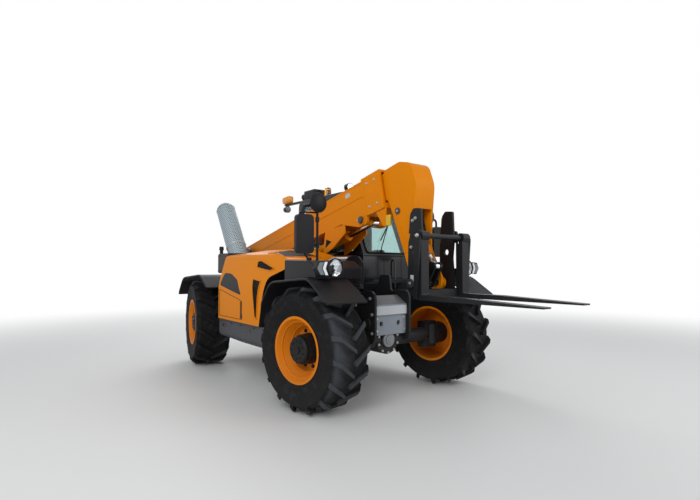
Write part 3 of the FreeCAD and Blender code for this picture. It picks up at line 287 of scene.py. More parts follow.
def perforated(name, colour):
    """Sheet steel with staggered round holes, about the exhaust stack's own line; the holes are painted as the
    dark, shaded inner pipe seen through them.
    """
    f = Finish(name, IOR=1.5)
    rest = f.node("ShaderNodeVectorMath", {"operation": "SUBTRACT"}, {0: f.place, 1: STACK_FOOT})

    def along(way):
        return f.node("ShaderNodeVectorMath", {"operation": "DOT_PRODUCT"}, {0: rest, 1: way}, "Value")

    height = along(LEAN) / HOLE_PITCH
    row = height.maths("FLOOR", height)
    angle = height.maths("ARCTAN2", along(Y), along(LEAN.cross(Y)))
    turn = angle * (STACK_RADIUS / HOLE_PITCH) + row * 0.5
    a, b = turn.maths("FRACT", turn) - 0.5, height.maths("FRACT", height) - 0.5
    hole = 1.0 - ((a * a + b * b) ** 0.5).step(0.30, 0.05)
    # Painted shade: the holes take the HOLE colour of the shaded inner pipe and are not cut through
    base = f.mix(dusty(f, 0.4), f.mix(hole, colour, HOLE), DUST)
    f.set(Base_Color=base, Metallic=(0.75 - hole * 0.75).clamp(), Roughness=(hole * 0.4 + 0.4).clamp())
    return f.bump(1.0 - hole, 0.5, 0.003)


def cloth(name, colour):
    """Woven cover with a fine rib."""
    f = Finish(name, IOR=1.45, Sheen_Weight=0.25)
    settings = {"wave_type": "BANDS", "bands_direction": "Y"}
    inputs = {"Vector": f.place, "Scale": RIBS, "Distortion": 0.6}
    rib = f.node("ShaderNodeTexWave", settings, inputs, "Fac")
    base = f.mix(rib * 0.5, shade(colour, 0.7), shade(colour, 1.5))
    f.set(Base_Color=base, Roughness=f.noise(LINT) * 0.1 + 0.82)
    return f.bump(rib + f.noise(THREADS, 3.0) * 0.5, 0.35, 0.001)


ORANGE = (0.76, 0.232, 0.001, 1)
GLASS_TINT = (0.60, 0.77, 0.75, 1)
FINISHES = {
    # paint: colour, roughness, dust, coat, peel, gloss
    "orange": paint("orange_paint", ORANGE, 0.34, 0.10, 0.02, 0.05, 0.04),
    "boom_orange": paint("boom_paint", ORANGE, 0.36, 0.10, 0.02, 0.05, 0.06),
    "rim_orange": paint("rim_paint", (0.72, 0.200, 0.003, 1), 0.4, 0.25, 0.0, 0.05, 0.08),
    "black_paint": paint("black_frame_paint", (0.009, 0.010, 0.012, 1), 0.42, 0.5, 0.02, 0.08),
    "gloss_black": paint("gloss_black_paint", (0.008, 0.009, 0.012, 1), 0.14, 0.2, 0.25, 0.02),
    "plate_grey": paint("grey_paint", (0.25, 0.28, 0.32, 1), 0.42, 0.5, 0.05, 0.08),
    "skirt_grey": paint("skirt_paint", (0.050, 0.055, 0.068, 1), 0.5, 0.5, 0.02),
    "tyre": rubber("tyre_rubber", (0.006, 0.006, 0.007, 1), 0.35, 1.5, True),
    "rubber": rubber("seal_rubber", (0.009, 0.009, 0.010, 1), 0.15),
    "hose": rubber("hose_rubber", (0.018, 0.018, 0.019, 1), 0.3),
    "fender": plastic("fender_plastic", (0.012, 0.012, 0.014, 1), 0.5, 0.3, 0.25),
    "plastic": plastic("black_plastic", (0.009, 0.009, 0.011, 1), 0.4, 0.2, 0.3),
    "chrome": metal("chrome", (0.72, 0.73, 0.75, 1), 0.1, 0.08, 0.1),
    "zinc": metal("zinc_plate", (0.50, 0.50, 0.47, 1), 0.36),
    "dark_steel": metal("dark_steel", (0.09, 0.09, 0.095, 1), 0.42),
    "glass": clear("cab_glass_tint", GLASS_TINT),
    "lens": clear("lamp_lens", (0.95, 0.97, 0.98, 1), 0.03),
    "amber": clear("amber_lens", (1.0, 0.42, 0.02, 1), 0.08),
    "amber_solid": paint("amber_lamp_body", (0.80, 0.30, 0.01, 1), 0.12, 0.1, 0.5, 0.0),
    "red": clear("red_lens", (0.8, 0.03, 0.02, 1), 0.12),
    "hub_black": paint("hub_paint", (0.007, 0.007, 0.008, 1), 0.45, 0.4, 0.0, 0.06, 0.12),
    "bright_band": paint("bright_band_paint", (0.52, 0.55, 0.58, 1), 0.38, 0.5, 0.1, 0.05),
    "slope_grey": paint("slope_paint", (0.13, 0.13, 0.14, 1), 0.45, 0.7, 0.1, 0.06),
    "cast_grey": paint("cast_paint", (0.27, 0.29, 0.31, 1), 0.5, 1.0, 0.05, 0.1),
    "panel_dark": paint("dark_panel_film", (0.010, 0.011, 0.015, 1), 0.4, 0.3, 0.0, 0.02, 0.12),
    "grille": grille("vent_mesh", (0.012, 0.012, 0.014, 1)),
    "perforated": perforated("perforated_sleeve", (0.36, 0.43, 0.46, 1)),
    "yellow": paint("yellow_block_paint", (0.72, 0.46, 0.02, 1), 0.4, 0.4, 0.2),
    "pale": paint("blank_patch_film", (0.50, 0.52, 0.50, 1), 0.45, 0.5, 0.1, 0.0),
    "white_lens": paint("white_lamp_face", (0.86, 0.88, 0.90, 1), 0.25, 0.1, 0.4, 0.0),
    "lens_tint": paint("smoked_lamp_face", (0.16, 0.19, 0.21, 1), 0.12, 0.1, 0.7, 0.0),
    "screen": paint("display_face", (0.01, 0.012, 0.016, 1), 0.08, 0.1, 0.7, 0.0),
    "tread": metal("step_tread", (0.22, 0.22, 0.23, 1), 0.5, 0.1, 0.8),
    "seat_cloth": cloth("seat_cloth", (0.028, 0.028, 0.032, 1)),
    "mirror": metal("mirror_glass", (0.9, 0.9, 0.9, 1), 0.02, 0.02, 0.05),
}


# Meshes

def look(obj, finish, body, smooth=35.0, bevel=0.0):
    """Give a piece its finish, round its edges a little and let it ride on its body."""
    obj.data.materials.clear()
    obj.data.materials.append(FINISHES[finish].material)
    obj.data.shade_smooth()
    if bevel:
        edge = obj.modifiers.new("soft_edges", "BEVEL")
        edge.width, edge.segments = bevel, 2
        edge.limit_method, edge.angle_limit = "ANGLE", radians(30)
    obj.data.set_sharp_from_angle(angle=radians(smooth))
    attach(obj, body)
    return obj


def mesh_object(name, bm):
    """A new object with a bmesh's shape."""
    mesh = bpy.data.meshes.new(name)
    bm.to_mesh(mesh)
    bm.free()
    obj = bpy.data.objects.new(name, mesh)
    bpy.context.scene.collection.objects.link(obj)
    return obj


def plain_copy(node):
    """A bmesh of a node's solid, with its flat faces whole again unless it is a rim."""
    source = frame["nodes"][node].data
    bm = bmesh.new()
    spots = [bm.verts.new(v.co) for v in source.vertices]
    for polygon in source.polygons:
        try:
            bm.faces.new([spots[i] for i in polygon.vertices])
        except ValueError:
            continue  # this face is already there
    bmesh.ops.remove_doubles(bm, verts=bm.verts, dist=1e-5)
    if not node.startswith("rim_"):
        bmesh.ops.dissolve_limit(bm, angle_limit=radians(0.6), verts=bm.verts, edges=bm.edges)
    return bm


def tint(obj, finish, test):
    """Give the faces whose middle and normal pass a test another finish."""
    obj.data.materials.append(FINISHES[finish].material)
    last = len(obj.data.materials) - 1
    for face in obj.data.polygons:
        if test(face.center, face.normal):
            face.material_index = last
    return obj


TREES = {}


def surface(node):
    """A node's solid as a tree, to lay thin pieces on."""
    if node not in TREES:
        mesh = frame["nodes"][node].data
        faces = [list(p.vertices) for p in mesh.polygons]
        TREES[node] = BVHTree.FromPolygons([v.co for v in mesh.vertices], faces)
    return TREES[node]


def rounded(points, radius, steps=4):
    """A closed flat loop with its corners cut round, each by two fifths of its shorter side at most."""
    loop = []
    for i, corner in enumerate(points):
        back, ahead = points[i - 1] - corner, points[(i + 1) % len(points)] - corner
        reach = min(radius, 0.4 * back.length, 0.4 * ahead.length)
        start, end = corner + back.normalized() * reach, corner + ahead.normalized() * reach
        for k in range(steps + 1):
            t = k / steps
            loop.append(start * (1 - t) ** 2 + corner * 2 * t * (1 - t) + end * t ** 2)
    return loop


def laid(tree, point, way, reach=0.6):
    """Where a ray along way from well outside the point meets a surface."""
    found = tree.ray_cast(point - way * reach, way)
    return found[0] if found[0] is not None else tree.find_nearest(point)[0]


PANEL_LIFT = 0.0022
PANEL_ROOT = 0.002
PANEL_CELL = 0.035


def panel(name, node, corners, way, finish, radius):
    """A thin panel that follows a node's surface inside a loop of corners."""
    way, tree = Vector(way).normalized(), surface(node)
    across = way.cross(Z if abs(way.z) < 0.7 else Y).normalized()
    up = across.cross(way)
    depth = sum(c.dot(way) for c in corners) / len(corners)
    flat = rounded([across * c.dot(across) + up * c.dot(up) + way * depth for c in corners], radius)
    bm = bmesh.new()
    bm.faces.new([bm.verts.new(p) for p in flat])
    for axis in (across, up):
        values = [p.dot(axis) for p in flat]
        first, width = min(values), max(values) - min(values)
        count = int(width / PANEL_CELL)
        for k in range(1, count + 1):
            where = axis * (first + width * k / (count + 1))
            everything = bm.verts[:] + bm.edges[:] + bm.faces[:]
            bmesh.ops.bisect_plane(bm, geom=everything, plane_co=where, plane_no=axis)
    bmesh.ops.triangulate(bm, faces=bm.faces[:])
    for v in bm.verts:
        v.co = laid(tree, v.co, way) - way * PANEL_LIFT
    rim = bmesh.ops.extrude_edge_only(bm, edges=[e for e in bm.edges if e.is_boundary])
    for v in [g for g in rim["geom"] if isinstance(g, bmesh.types.BMVert)]:
        v.co += way * (PANEL_LIFT + PANEL_ROOT)
    bmesh.ops.recalc_face_normals(bm, faces=bm.faces[:])
    return look(mesh_object(name, bm), finish, frame["nodes"][node]["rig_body"], 40.0)


def ring_ways(first, second, count):
    """Ways round a circle, from its first way towards its second."""
    turns = [2 * pi * k / count for k in range(count)]
    return [first * cos(turn) + second * sin(turn) for turn in turns]


def sweep(name, points, radius, finish, body, closed=False, sides=8):
    """A round bead or hose along points that lie close together."""
    bm = bmesh.new()
    rings = []
    normal = None
    for i, point in enumerate(points):
        before = points[i - 1] if closed or i else points[0]
        after = points[(i + 1) % len(points)] if closed or i < len(points) - 1 else points[-1]
        way = (after - before).normalized()
        if normal is None:
            normal = way.cross(Z if abs(way.z) < 0.9 else Y)
        normal = (normal - way * normal.dot(way)).normalized()
        ways = ring_ways(normal, way.cross(normal), sides)
        rings.append([bm.verts.new(point + out * radius) for out in ways])
    pairs = list(zip(rings, rings[1:])) + ([(rings[-1], rings[0])] if closed else [])
    for near, far in pairs:
        turn = 0
        if near is rings[-1]:
            turn = min(range(sides), key=lambda k: (far[k].co - near[0].co).length)
        for k in range(sides):
            j = (k + 1) % sides
            bm.faces.new([near[k], near[j], far[(j + turn) % sides], far[(k + turn) % sides]])
    if not closed:
        bm.faces.new(rings[0][::-1])
        bm.faces.new(rings[-1])
    bmesh.ops.recalc_face_normals(bm, faces=bm.faces[:])
    return look(mesh_object(name, bm), finish, body, 60.0)


def bead(name, node, corners, way, radius, finish, corner_radius, spacing=0.025, sink=0.3):
    """A round bead on a node's surface along a closed loop of corners."""
    way = Vector(way).normalized()
    loop = rounded(corners, corner_radius)
    points = []
    for i, point in enumerate(loop):
        after = loop[(i + 1) % len(loop)]
        count = max(1, int((after - point).length / spacing))
        points += [point.lerp(after, k / count) for k in range(count)]
    tree = surface(node)
    points = [laid(tree, p, way) - way * radius * (1 - sink) for p in points]
    return sweep(name, points, radius, finish, frame["nodes"][node]["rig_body"], True)


HOSE_BEND = 0.06
HOSE_STEPS = 8


def hose(name, stops, radius, finish, body):
    """A hose or bent rod that rounds every corner between its stops."""
    points = [stops[0]]
    for before, corner, after in zip(stops, stops[1:], stops[2:]):
        back, ahead = before - corner, after - corner
        start = corner + back.normalized() * min(HOSE_BEND, back.length * 0.45)
        end = corner + ahead.normalized() * min(HOSE_BEND, ahead.length * 0.45)
        for k in range(HOSE_STEPS + 1):
            t = k / HOSE_STEPS
            points.append(start * (1 - t) ** 2 + corner * 2 * t * (1 - t) + end * t ** 2)
    points.append(stops[-1])
    return sweep(name, points, radius, finish, body, False, 12)


def cone(bm, place, turn, sides, radius, end_radius, depth):
    """Add a closed cylinder or cone about a place, turned from the upright."""
    bmesh.ops.create_cone(bm, cap_ends=True, segments=sides, radius1=radius, radius2=end_radius,
                          depth=depth, matrix=Matrix.Translation(place) @ turn)


def bars(name, rows, finish, body, bevel=0.0015, sides=32):
    """Round bars and cones in one piece: start, end, radius and, for a cone, its end's radius."""
    bm = bmesh.new()
    for start, end, radius, *rest in rows:
        way = end - start
        turn = way.to_track_quat("Z", "Y").to_matrix().to_4x4()
        cone(bm, (start + end) / 2, turn, sides, radius, rest[0] if rest else radius, way.length)
    return look(mesh_object(name, bm), finish, body, 35.0, bevel)


# Bolt heads, by their radius over the corners
HUB_HEAD, SMALL_HEAD, PIN_HEAD, PLATE_HEAD = 0.008, 0.009, 0.011, 0.012
FACE_HEAD, BASE_HEAD, LARGE_HEAD, WEIGHT_HEAD = 0.013, 0.014, 0.015, 0.018
WASHER_SHARE = 1.35
WASHER_THICK = 0.3


def heads(name, places, way, radius, finish, body, height=0.6, washer=True):
    """Hexagonal bolt heads on washers, at places on a surface that faces way."""
    bm = bmesh.new()
    way = Vector(way).normalized()
    turn = way.to_track_quat("Z", "Y").to_matrix().to_4x4()
    for place in places:
        if washer:
            rim, thick = radius * WASHER_SHARE, radius * WASHER_THICK
            cone(bm, place + way * thick / 3, turn, 20, rim, rim, thick)
        tall = radius * height * 2
        cone(bm, place + way * tall * 0.45, turn, 6, radius, radius, tall)
    return look(mesh_object(name, bm), finish, body, 30.0, radius * 0.12)


def prism(name, corners, depth, finish, body, bevel=0.002):
    """A plate whose outline is a loop of corners, as thick as depth reaches."""
    bm = bmesh.new()
    face = bm.faces.new([bm.verts.new(c) for c in corners])
    made = bmesh.ops.extrude_face_region(bm, geom=[face])
    for v in [g for g in made["geom"] if isinstance(g, bmesh.types.BMVert)]:
        v.co += Vector(depth)
    bmesh.ops.recalc_face_normals(bm, faces=bm.faces[:])
    return look(mesh_object(name, bm), finish, body, 35.0, bevel)


def slab(name, low, high, finish, body, bevel=0.002, rows=None):
    """A box, or several in one piece, between opposite corners."""
    bm = bmesh.new()
    for a, b in [(low, high)] + (rows or []):
        size = [abs(reach) for reach in b - a]
        place = Matrix.Translation((a + b) / 2) @ Matrix.Diagonal((*size, 1))
        bmesh.ops.create_cube(bm, size=1.0, matrix=place)
    return look(mesh_object(name, bm), finish, body, 35.0, bevel)


def circle(centre, way, radius, count):
    """Places round a circle."""
    way = Vector(way).normalized()
    first = way.cross(Y if abs(way.y) < 0.7 else Z).normalized()
    return [centre + out * radius for out in ring_ways(first, way.cross(first), count)]


RING_STEPS = 72


def band(name, centre, way, radius, thick, finish, body):
    """A ring of round section."""
    return sweep(name, circle(centre, way, radius, RING_STEPS), thick, finish, body, True)


def dress(node, finish, bevel):
    """A piece in the shape of its solid, with soft edges and a finish."""
    obj = mesh_object(node + "_dressed", plain_copy(node))
    look(obj, finish, frame["nodes"][node]["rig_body"], 35.0, bevel)
    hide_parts(node)
    return obj


DRESSES = [
    # node, finish, edge radius
    ("chassis_frame", "black_paint", 0.004), ("face_plate", "plate_grey", 0.004),
    ("rear_weight", "black_paint", 0.012), ("gearbox_and_shafts", "black_paint", 0.004),
    ("front_axle", "black_paint", 0.006), ("rear_axle", "black_paint", 0.006),
    ("engine_skirt", "skirt_grey", 0.006), ("bay_wall", "black_paint", 0.002),
    ("engine_block", "black_paint", 0.01), ("exhaust_base", "plastic", 0.012),
    ("exhaust_guard", "perforated", 0.002), ("front_cowl", "plastic", 0.02),
    ("tower_cover", "gloss_black", 0.01), ("fenders", "fender", 0.006), ("headlights", "plastic", 0.004),
    ("mirrors", "plastic", 0.008), ("cab_shell", "gloss_black", 0.012), ("seat", "plastic", 0.02),
    ("dash_console", "plastic", 0.01), ("steering_wheel", "plastic", 0.003),
    ("roof_lamps", "plastic", 0.003), ("fuel_tank", "fender", 0.01), ("tail_lamps", "plastic", 0.004),
    ("hood_shell", "orange", 0.012), ("cab_door", "gloss_black", 0.008),
    ("boom_outer", "boom_orange", 0.006), ("boom_inner", "boom_orange", 0.006),
    ("boom_head", "boom_orange", 0.005), ("tool_carriage", "black_paint", 0.003),
    ("fork_frame", "black_paint", 0.003), ("forks", "black_paint", 0.003),
    ("lift_barrel", "boom_orange", 0.003), ("tilt_barrel", "boom_orange", 0.003),
    ("lift_rod", "chrome", 0.002), ("tilt_rod", "chrome", 0.002), ("cab_glass", "glass", 0.0),
    ("door_glass", "glass", 0.0), ("beacon", "amber", 0.002),
]
DRESSES += [("knuckle_" + corner, "black_paint", 0.004) for corner in CORNERS]
DRESSES += [("rim_" + corner, "rim_orange", 0.002) for corner in CORNERS]
DRESSES += [("tyre_" + corner, "tyre", 0.003) for corner in CORNERS]
PIECES = {node: dress(node, finish, edge) for node, finish, edge in DRESSES}
SIDES = ((-1, "right"), (1, "left"))
RIGHT = Vector((0, -1, 0))

# Steps that keep the faces of thin pieces out of the faces beside them
HAIR, FINE_HAIR = .0005, .0002


def side_outline(points, y):
    """Corners in an upright plane along the machine, y to its left."""
    return [spot(x, y, z) for x, z in points]


def front_outline(points, x, side):
    """Corners in an upright plane across the machine, on one side of it."""
    return [spot(x, side * y, z) for y, z in points]


# Wheels

# Radii
HUB_EDGE = 0.1515
NUT_CIRCLE = 0.176
SCREW_CIRCLE = 0.086
DRUM_RADIUS = 0.130
DRUM_EDGE = 0.114
PLUG_RADIUS = 0.034
RIM_STEPS = (0.226, 0.272)
STEP_BEAD = 0.007
# Places outward from the wheel's middle
DISH_OUT = 0.040
HUB_STEP_OUT = 0.145
HUB_FACE_OUT = 0.198
WALL_OUT = 0.2275
WALL_RINGS = (
    # name, radius, depth below the wall, bead
    ("tyre_rib_", 0.440, 0.004, 0.005),
    ("tyre_line_", 0.375, 0.013, 0.004),
)


def dress_wheel(corner):
    """A wheel's black hub with its nuts and screws, the steps of its rim and the rings on its tyre."""
    joint = JOINTS[corner + "_wheel_spin"]
    middle, axis = Vector(joint["pos_m"]), Vector(joint["axis"]).normalized()
    outward = axis if corner.endswith("left") == (axis.y > 0) else -axis
    rim, wheel = "rim_" + corner, "wheel_" + corner

    def on_hub(point, normal):
        along = (point - middle).dot(outward)
        near = along > DISH_OUT - 0.002 and (point - middle - outward * along).length < HUB_EDGE
        return near and (abs(normal.dot(outward)) < 0.5 or along > HUB_STEP_OUT - 0.006)

    tint(PIECES[rim], "hub_black", on_hub)
    nuts = circle(middle + outward * DISH_OUT, outward, NUT_CIRCLE, 10)
    heads("wheel_nuts_" + corner, nuts, outward, LARGE_HEAD, "hub_black", wheel)
    for step, radius in enumerate(RIM_STEPS):
        places = circle(middle, outward, radius, RING_STEPS)
        ring = [laid(surface(rim), place, -outward, 0.3) for place in places]
        sweep(f"rim_step_{corner}_{step}", ring, STEP_BEAD, "rim_orange", wheel, True)
    screws = circle(middle + outward * HUB_FACE_OUT, outward, SCREW_CIRCLE, 9)
    heads("hub_screws_" + corner, screws, outward, HUB_HEAD, "hub_black", wheel)
    outs = (HUB_STEP_OUT - 0.002, HUB_FACE_OUT - 0.014, HUB_FACE_OUT, HUB_FACE_OUT + 0.010)
    foot, edge, face, plug = (middle + outward * out for out in outs)
    drum = [(foot, edge, DRUM_RADIUS), (edge, face, DRUM_RADIUS, DRUM_EDGE), (face, plug, PLUG_RADIUS)]
    bars("hub_drum_" + corner, drum, "hub_black", wheel, 0.001, 48)
    for side, tag in ((outward, "_out"), (-outward, "_in")):
        for name, radius, depth, thick in WALL_RINGS:
            centre = middle + side * (WALL_OUT - depth)
            band(name + corner + tag, centre, outward, radius, thick, "tyre", wheel)


for corner in CORNERS:
    dress_wheel(corner)


# Hood

HOOD_PANELS = [
    # name, way of sight, corners, finish, corner radius
    ("hood_top_grille", (0, 0, -1),
     ((-.945, -.945, 1.57), (-.845, -.798, 1.59), (-.817, -.585, 1.6), (-.423, -.54, 1.5),
      (-.415, -1.015, 1.48)),
     "grille", 0.02),
    ("hood_shoulder_vent", (0, 1, -0.45),
     ((-1.023, -1.023, 1.473), (-.941, -1.021, 1.482), (-.571, -1.045, 1.389), (-.682, -1.051, 1.365),
      (-1.018, -1.041, 1.403)),
     "grille", 0.015),
    ("hood_side_vent", (0, 1, 0),
     ((-1.042, -1.09, 1.273), (-.836, -1.09, 1.25), (-.879, -1.1, 1.06), (-.9, -1.1, .815),
      (-.952, -1.1, .84)),
     "grille", 0.012),
    ("hood_dark_panel", (0, 1, 0),
     ((-2.004, -1.09, 1.176), (-1.926, -1.06, 1.335), (-1.704, -1.06, 1.325), (-1.467, -1.08, 1.244),
      (-1.331, -1.1, 1.067)),
     "panel_dark", 0.05),
    ("hood_slot", (0, 1, 0),
     ((-1.332, -1.1, 1.001), (-1.304, -1.1, 1.002), (-1.304, -1.1, .776), (-1.332, -1.1, .776)),
     "rubber", 0.008),
]
HOOD_SEAM = ((-2.0, .78), (-2.0, 1.12), (-1.345, 1.01), (-1.345, .78))
VENT_LIP = 0.006


def shaded_hood_faces(point, normal):
    """The hood's faces underneath, towards the wheel and towards the engine, where shade falls."""
    to_wheel = normal.x > .25 and abs(normal.y) < .3 and point.z < 1.40
    to_engine = normal.y > .3 and point.x < FRONT_X - .5 and point.z < 1.55
    return to_wheel or to_engine or normal.z < -.35


# Painted shade: these hood faces take the black frame paint in place of the hood's orange
tint(PIECES["hood_shell"], "black_paint", shaded_hood_faces)
for name, way, corners, finish, radius in HOOD_PANELS:
    loop = [spot(*c) for c in corners]
    panel(name, "hood_shell", loop, way, finish, radius=radius)
    if finish == "grille":
        bead(name + "_lip", "hood_shell", loop, way, VENT_LIP, "orange", radius)
slab("hood_catch", spot(-1.345, -1.104, .80), spot(-1.29, -1.096, .845), "plastic", "hood")
bead("hood_side_seam", "hood_shell", side_outline(HOOD_SEAM, -1.09), Y, 0.0025, "rubber", 0.02)


# Skirt

REFLECTOR_HALF = .055
for name, x in (("side_reflector_193", -1.93), ("side_reflector_120", -1.20)):
    slab(name, spot(x - REFLECTOR_HALF, -1.0665, .635), spot(x + REFLECTOR_HALF, -1.058, .675), "red",
         "machine", 0.003)
skirt_screws = [spot(x, -1.063, .70) for x in (-2.04, -1.7, -1.4, -1.05, -.82)]
heads("skirt_screws", skirt_screws, RIGHT, SMALL_HEAD, "dark_steel", "machine")


# Boom

BOOM_FACE = .170
COLLAR_FACE = .185
PIN_FACE = .186
TOWER_FACE = .288
PATCH_THICK = .0012
BRACKET = ((-.946, 1.562), (-.905, 1.565), (-.726, 1.643), (-.478, 1.813), (-.490, 1.915), (-.880, 1.862),
           (-.902, 1.838))
BRACKET_HOLE_SHADE = ((-.890, 1.645), (-.757, 1.722), (-.872, 1.755))
MOUTH_HOOK = ((.073, 2.025), (.200, 1.850), (.212, 1.844), (.253, 1.844), (.246, 2.050))
BOOM_STRIPS = (
    # name, reach along the boom, face it lies on, how far it stands off, reach above the middle line
    ("boom_seam_", (.10, 2.985), BOOM_FACE, .0055, (.006, .020)),
    ("boom_top_seam_", (.10, 2.985), BOOM_FACE, .0035, (.168, .184)),
    ("collar_band_", (3.00, 3.03), COLLAR_FACE, .005, (-.228, .198)),
    ("collar_mouth_", (3.285, 3.318), COLLAR_FACE, .005, (-.228, .198)),
)


def boom_strip(name, along, across, rise, finish, bevel=0.0015):
    """A strip on the outer boom, from how far it reaches each way."""
    outline = ((along[0], rise[0]), (along[1], rise[0]), (along[1], rise[1]), (along[0], rise[1]))
    corners = [on_boom(s, across[0], t) for s, t in outline]
    return prism(name, corners, Y * (across[1] - across[0]), finish, "boom", bevel)


for side, tag in SIDES:
    out = Y * side
    bracket = side_outline(BRACKET, side * (BOOM_FACE + FINE_HAIR))
    prism("boom_bracket_" + tag, bracket, out * -.016, "boom_orange", "boom")
    # Painted shade: a thin dark sheet where the bracket's triangular hole shows only shade
    window = side_outline(BRACKET_HOLE_SHADE, side * BOOM_FACE)
    hook = side_outline(MOUTH_HOOK, side * BOOM_FACE)
    prism("bracket_window_" + tag, window, out * PATCH_THICK, "rubber", "boom", 0.0)
    prism("mouth_hook_" + tag, hook, out * -.020, "boom_orange", "boom", 0.003)
    for name, along, face, proud, rise in BOOM_STRIPS:
        boom_strip(name + tag, along, (side * (face - HAIR), side * (face + proud)), rise, "boom_orange")
    pads = [on_boom(s, side * COLLAR_FACE, t) for s in (3.09, 3.22) for t in (-.15, .12)]
    heads("pad_screws_" + tag, pads, out, PIN_HEAD, "zinc", "boom")
    pin = spot(-.153, side * PIN_FACE, 1.940)
    pin_rows = [(pin, pin + out * .012, .043), (pin + out * .012, pin + out * .018, .03)]
    bars("lift_pin_head_" + tag, pin_rows, "dark_steel", "boom")
    heads("lift_pin_screw_" + tag, [pin - X * .062], out, SMALL_HEAD, "zinc", "boom")
    slab("mouth_block_" + tag, spot(.253, side * .150, 1.846), spot(.318, side * .172, 1.960), "yellow",
         "boom", 0.004)
    slab("mouth_block_back_" + tag, spot(.212, side * .150, 1.87), spot(.254, side * .168, 1.96),
         "dark_steel", "boom", 0.003)
    tower = PIVOT + out * TOWER_FACE
    heads("pivot_screws_" + tag, circle(tower, Y, .042, 3), out, SMALL_HEAD, "zinc", "machine", 0.5, False)
boom_strip("boom_blank_patch", (2.66, 2.75), (-BOOM_FACE, -BOOM_FACE - PATCH_THICK), (.085, .135), "pale", 0.0)
top_screws = [on_boom(s, y, .204) for s in (3.07, 3.24) for y in (-.1, .1)]
heads("boom_top_screws", top_screws, RISE, PLATE_HEAD, "zinc", "boom")


# Boom head and carriage

HEAD_PIN = Vector(JOINTS["carriage_tilt"]["pos_m"])
TILT_PIN = Vector(JOINTS["tilt_cylinder_swing"]["pos_m"])
INNER = "boom_inner_section"
HEAD_FACE = .135
CAP_FACE = .252
PLATE_FACE = .240
FORK_SIDE = .3655
HEAD_STIFFENER = ((.345, 1.99), (.372, 1.98), (.535, 1.56), (.515, 1.55))
HITCH_TOP = ((.666, 1.735), (.673, 1.80), (.682, 1.905), (.694, 1.936), (.728, 1.975), (.745, 1.979),
             (.822, 1.971), (.832, 1.960), (.8395, 1.74))
PLATE_SCREWS = ((.70, 1.60), (.79, 1.60), (.76, 1.88), (.72, 1.86))
HEAD_HOSE = ((.38, .085, 2.13), (.52, .085, 2.02), (.59, .085, 1.72), (.60, .085, 1.42), (.66, .068, 1.345))

for side, tag in SIDES:
    out = Y * side
    end, tilt = HEAD_PIN + out * CAP_FACE, TILT_PIN + out * HEAD_FACE
    bars("head_pin_cap_" + tag, [(end - out * .002, end + out * .008, .044)], "dark_steel", "carriage")
    heads("head_pin_screw_" + tag, [end + out * .008], out, PIN_HEAD, "zinc", "carriage")
    bars("tilt_pin_head_" + tag, [(tilt, tilt + out * .01, .036)], "dark_steel", INNER)
    heads("tilt_pin_screw_" + tag, [tilt + out * .01], out, SMALL_HEAD, "zinc", INNER)
    stiffener = side_outline(HEAD_STIFFENER, side * (HEAD_FACE + FINE_HAIR))
    prism("head_stiffener_" + tag, stiffener, out * .008, "boom_orange", INNER)
    hitch = side_outline(HITCH_TOP, side * (PLATE_FACE + FINE_HAIR))
    prism("hitch_plate_top_" + tag, hitch, out * -.0254, "black_paint", "carriage")
    screws = side_outline(PLATE_SCREWS, side * PLATE_FACE)
    heads("plate_screws_" + tag, screws, out, PLATE_HEAD, "zinc", "carriage")
    # Painted shade: a dark disc on the plate where its eye shows only shade
    eye = spot(.755, side * (PLATE_FACE - HAIR), 1.423)
    bars("plate_dark_eye_" + tag, [(eye, eye + out * .003, .026)], "rubber", "carriage")
    fork_end = spot(.905, side * FORK_SIDE, 1.70)
    heads("fork_end_screws_" + tag, [fork_end], out, LARGE_HEAD, "zinc", "carriage")
    hose("head_hose_" + tag, [spot(x, side * y, z) for x, y, z in HEAD_HOSE], 0.011, "hose", INNER)
patch_back, patch_front = -PLATE_FACE + FINE_HAIR, -PLATE_FACE - PATCH_THICK
slab("carriage_blank_patch", spot(.687, patch_back, 1.222), spot(.756, patch_front, 1.330), "pale",
     "carriage", 0.0)


# Front of the frame

NOSE = Vector((FRONT_X, 0, AXLE_Z))
NOSE_STEPS = (
    # start and end forward of the axle, radius
    (.0915, .110, .078),
    (.110, .124, .050),
    (.124, .134, .026),
)
STEERING_HOSE = ((-.18, .143, .155), (-.05, .156, .22), (.07, .182, .20), (.09, .208, .36))
EAR_FACE = .265
EAR_LIP = ((.04, .575), (.13, .590), (.165, .62), (.180, .67), (.180, 1.07), (.165, 1.12), (.12, 1.148),
           (.0, 1.148), (-.02, 1.10))
EAR_SCREWS = ((-.145, .986), (-.03, 1.08), (.10, 1.07), (.13, .70), (.13, .90))
NOSE_SCREW_CIRCLE = .142
LIFT_BASE = Vector(JOINTS["lift_cylinder_swing"]["pos_m"])

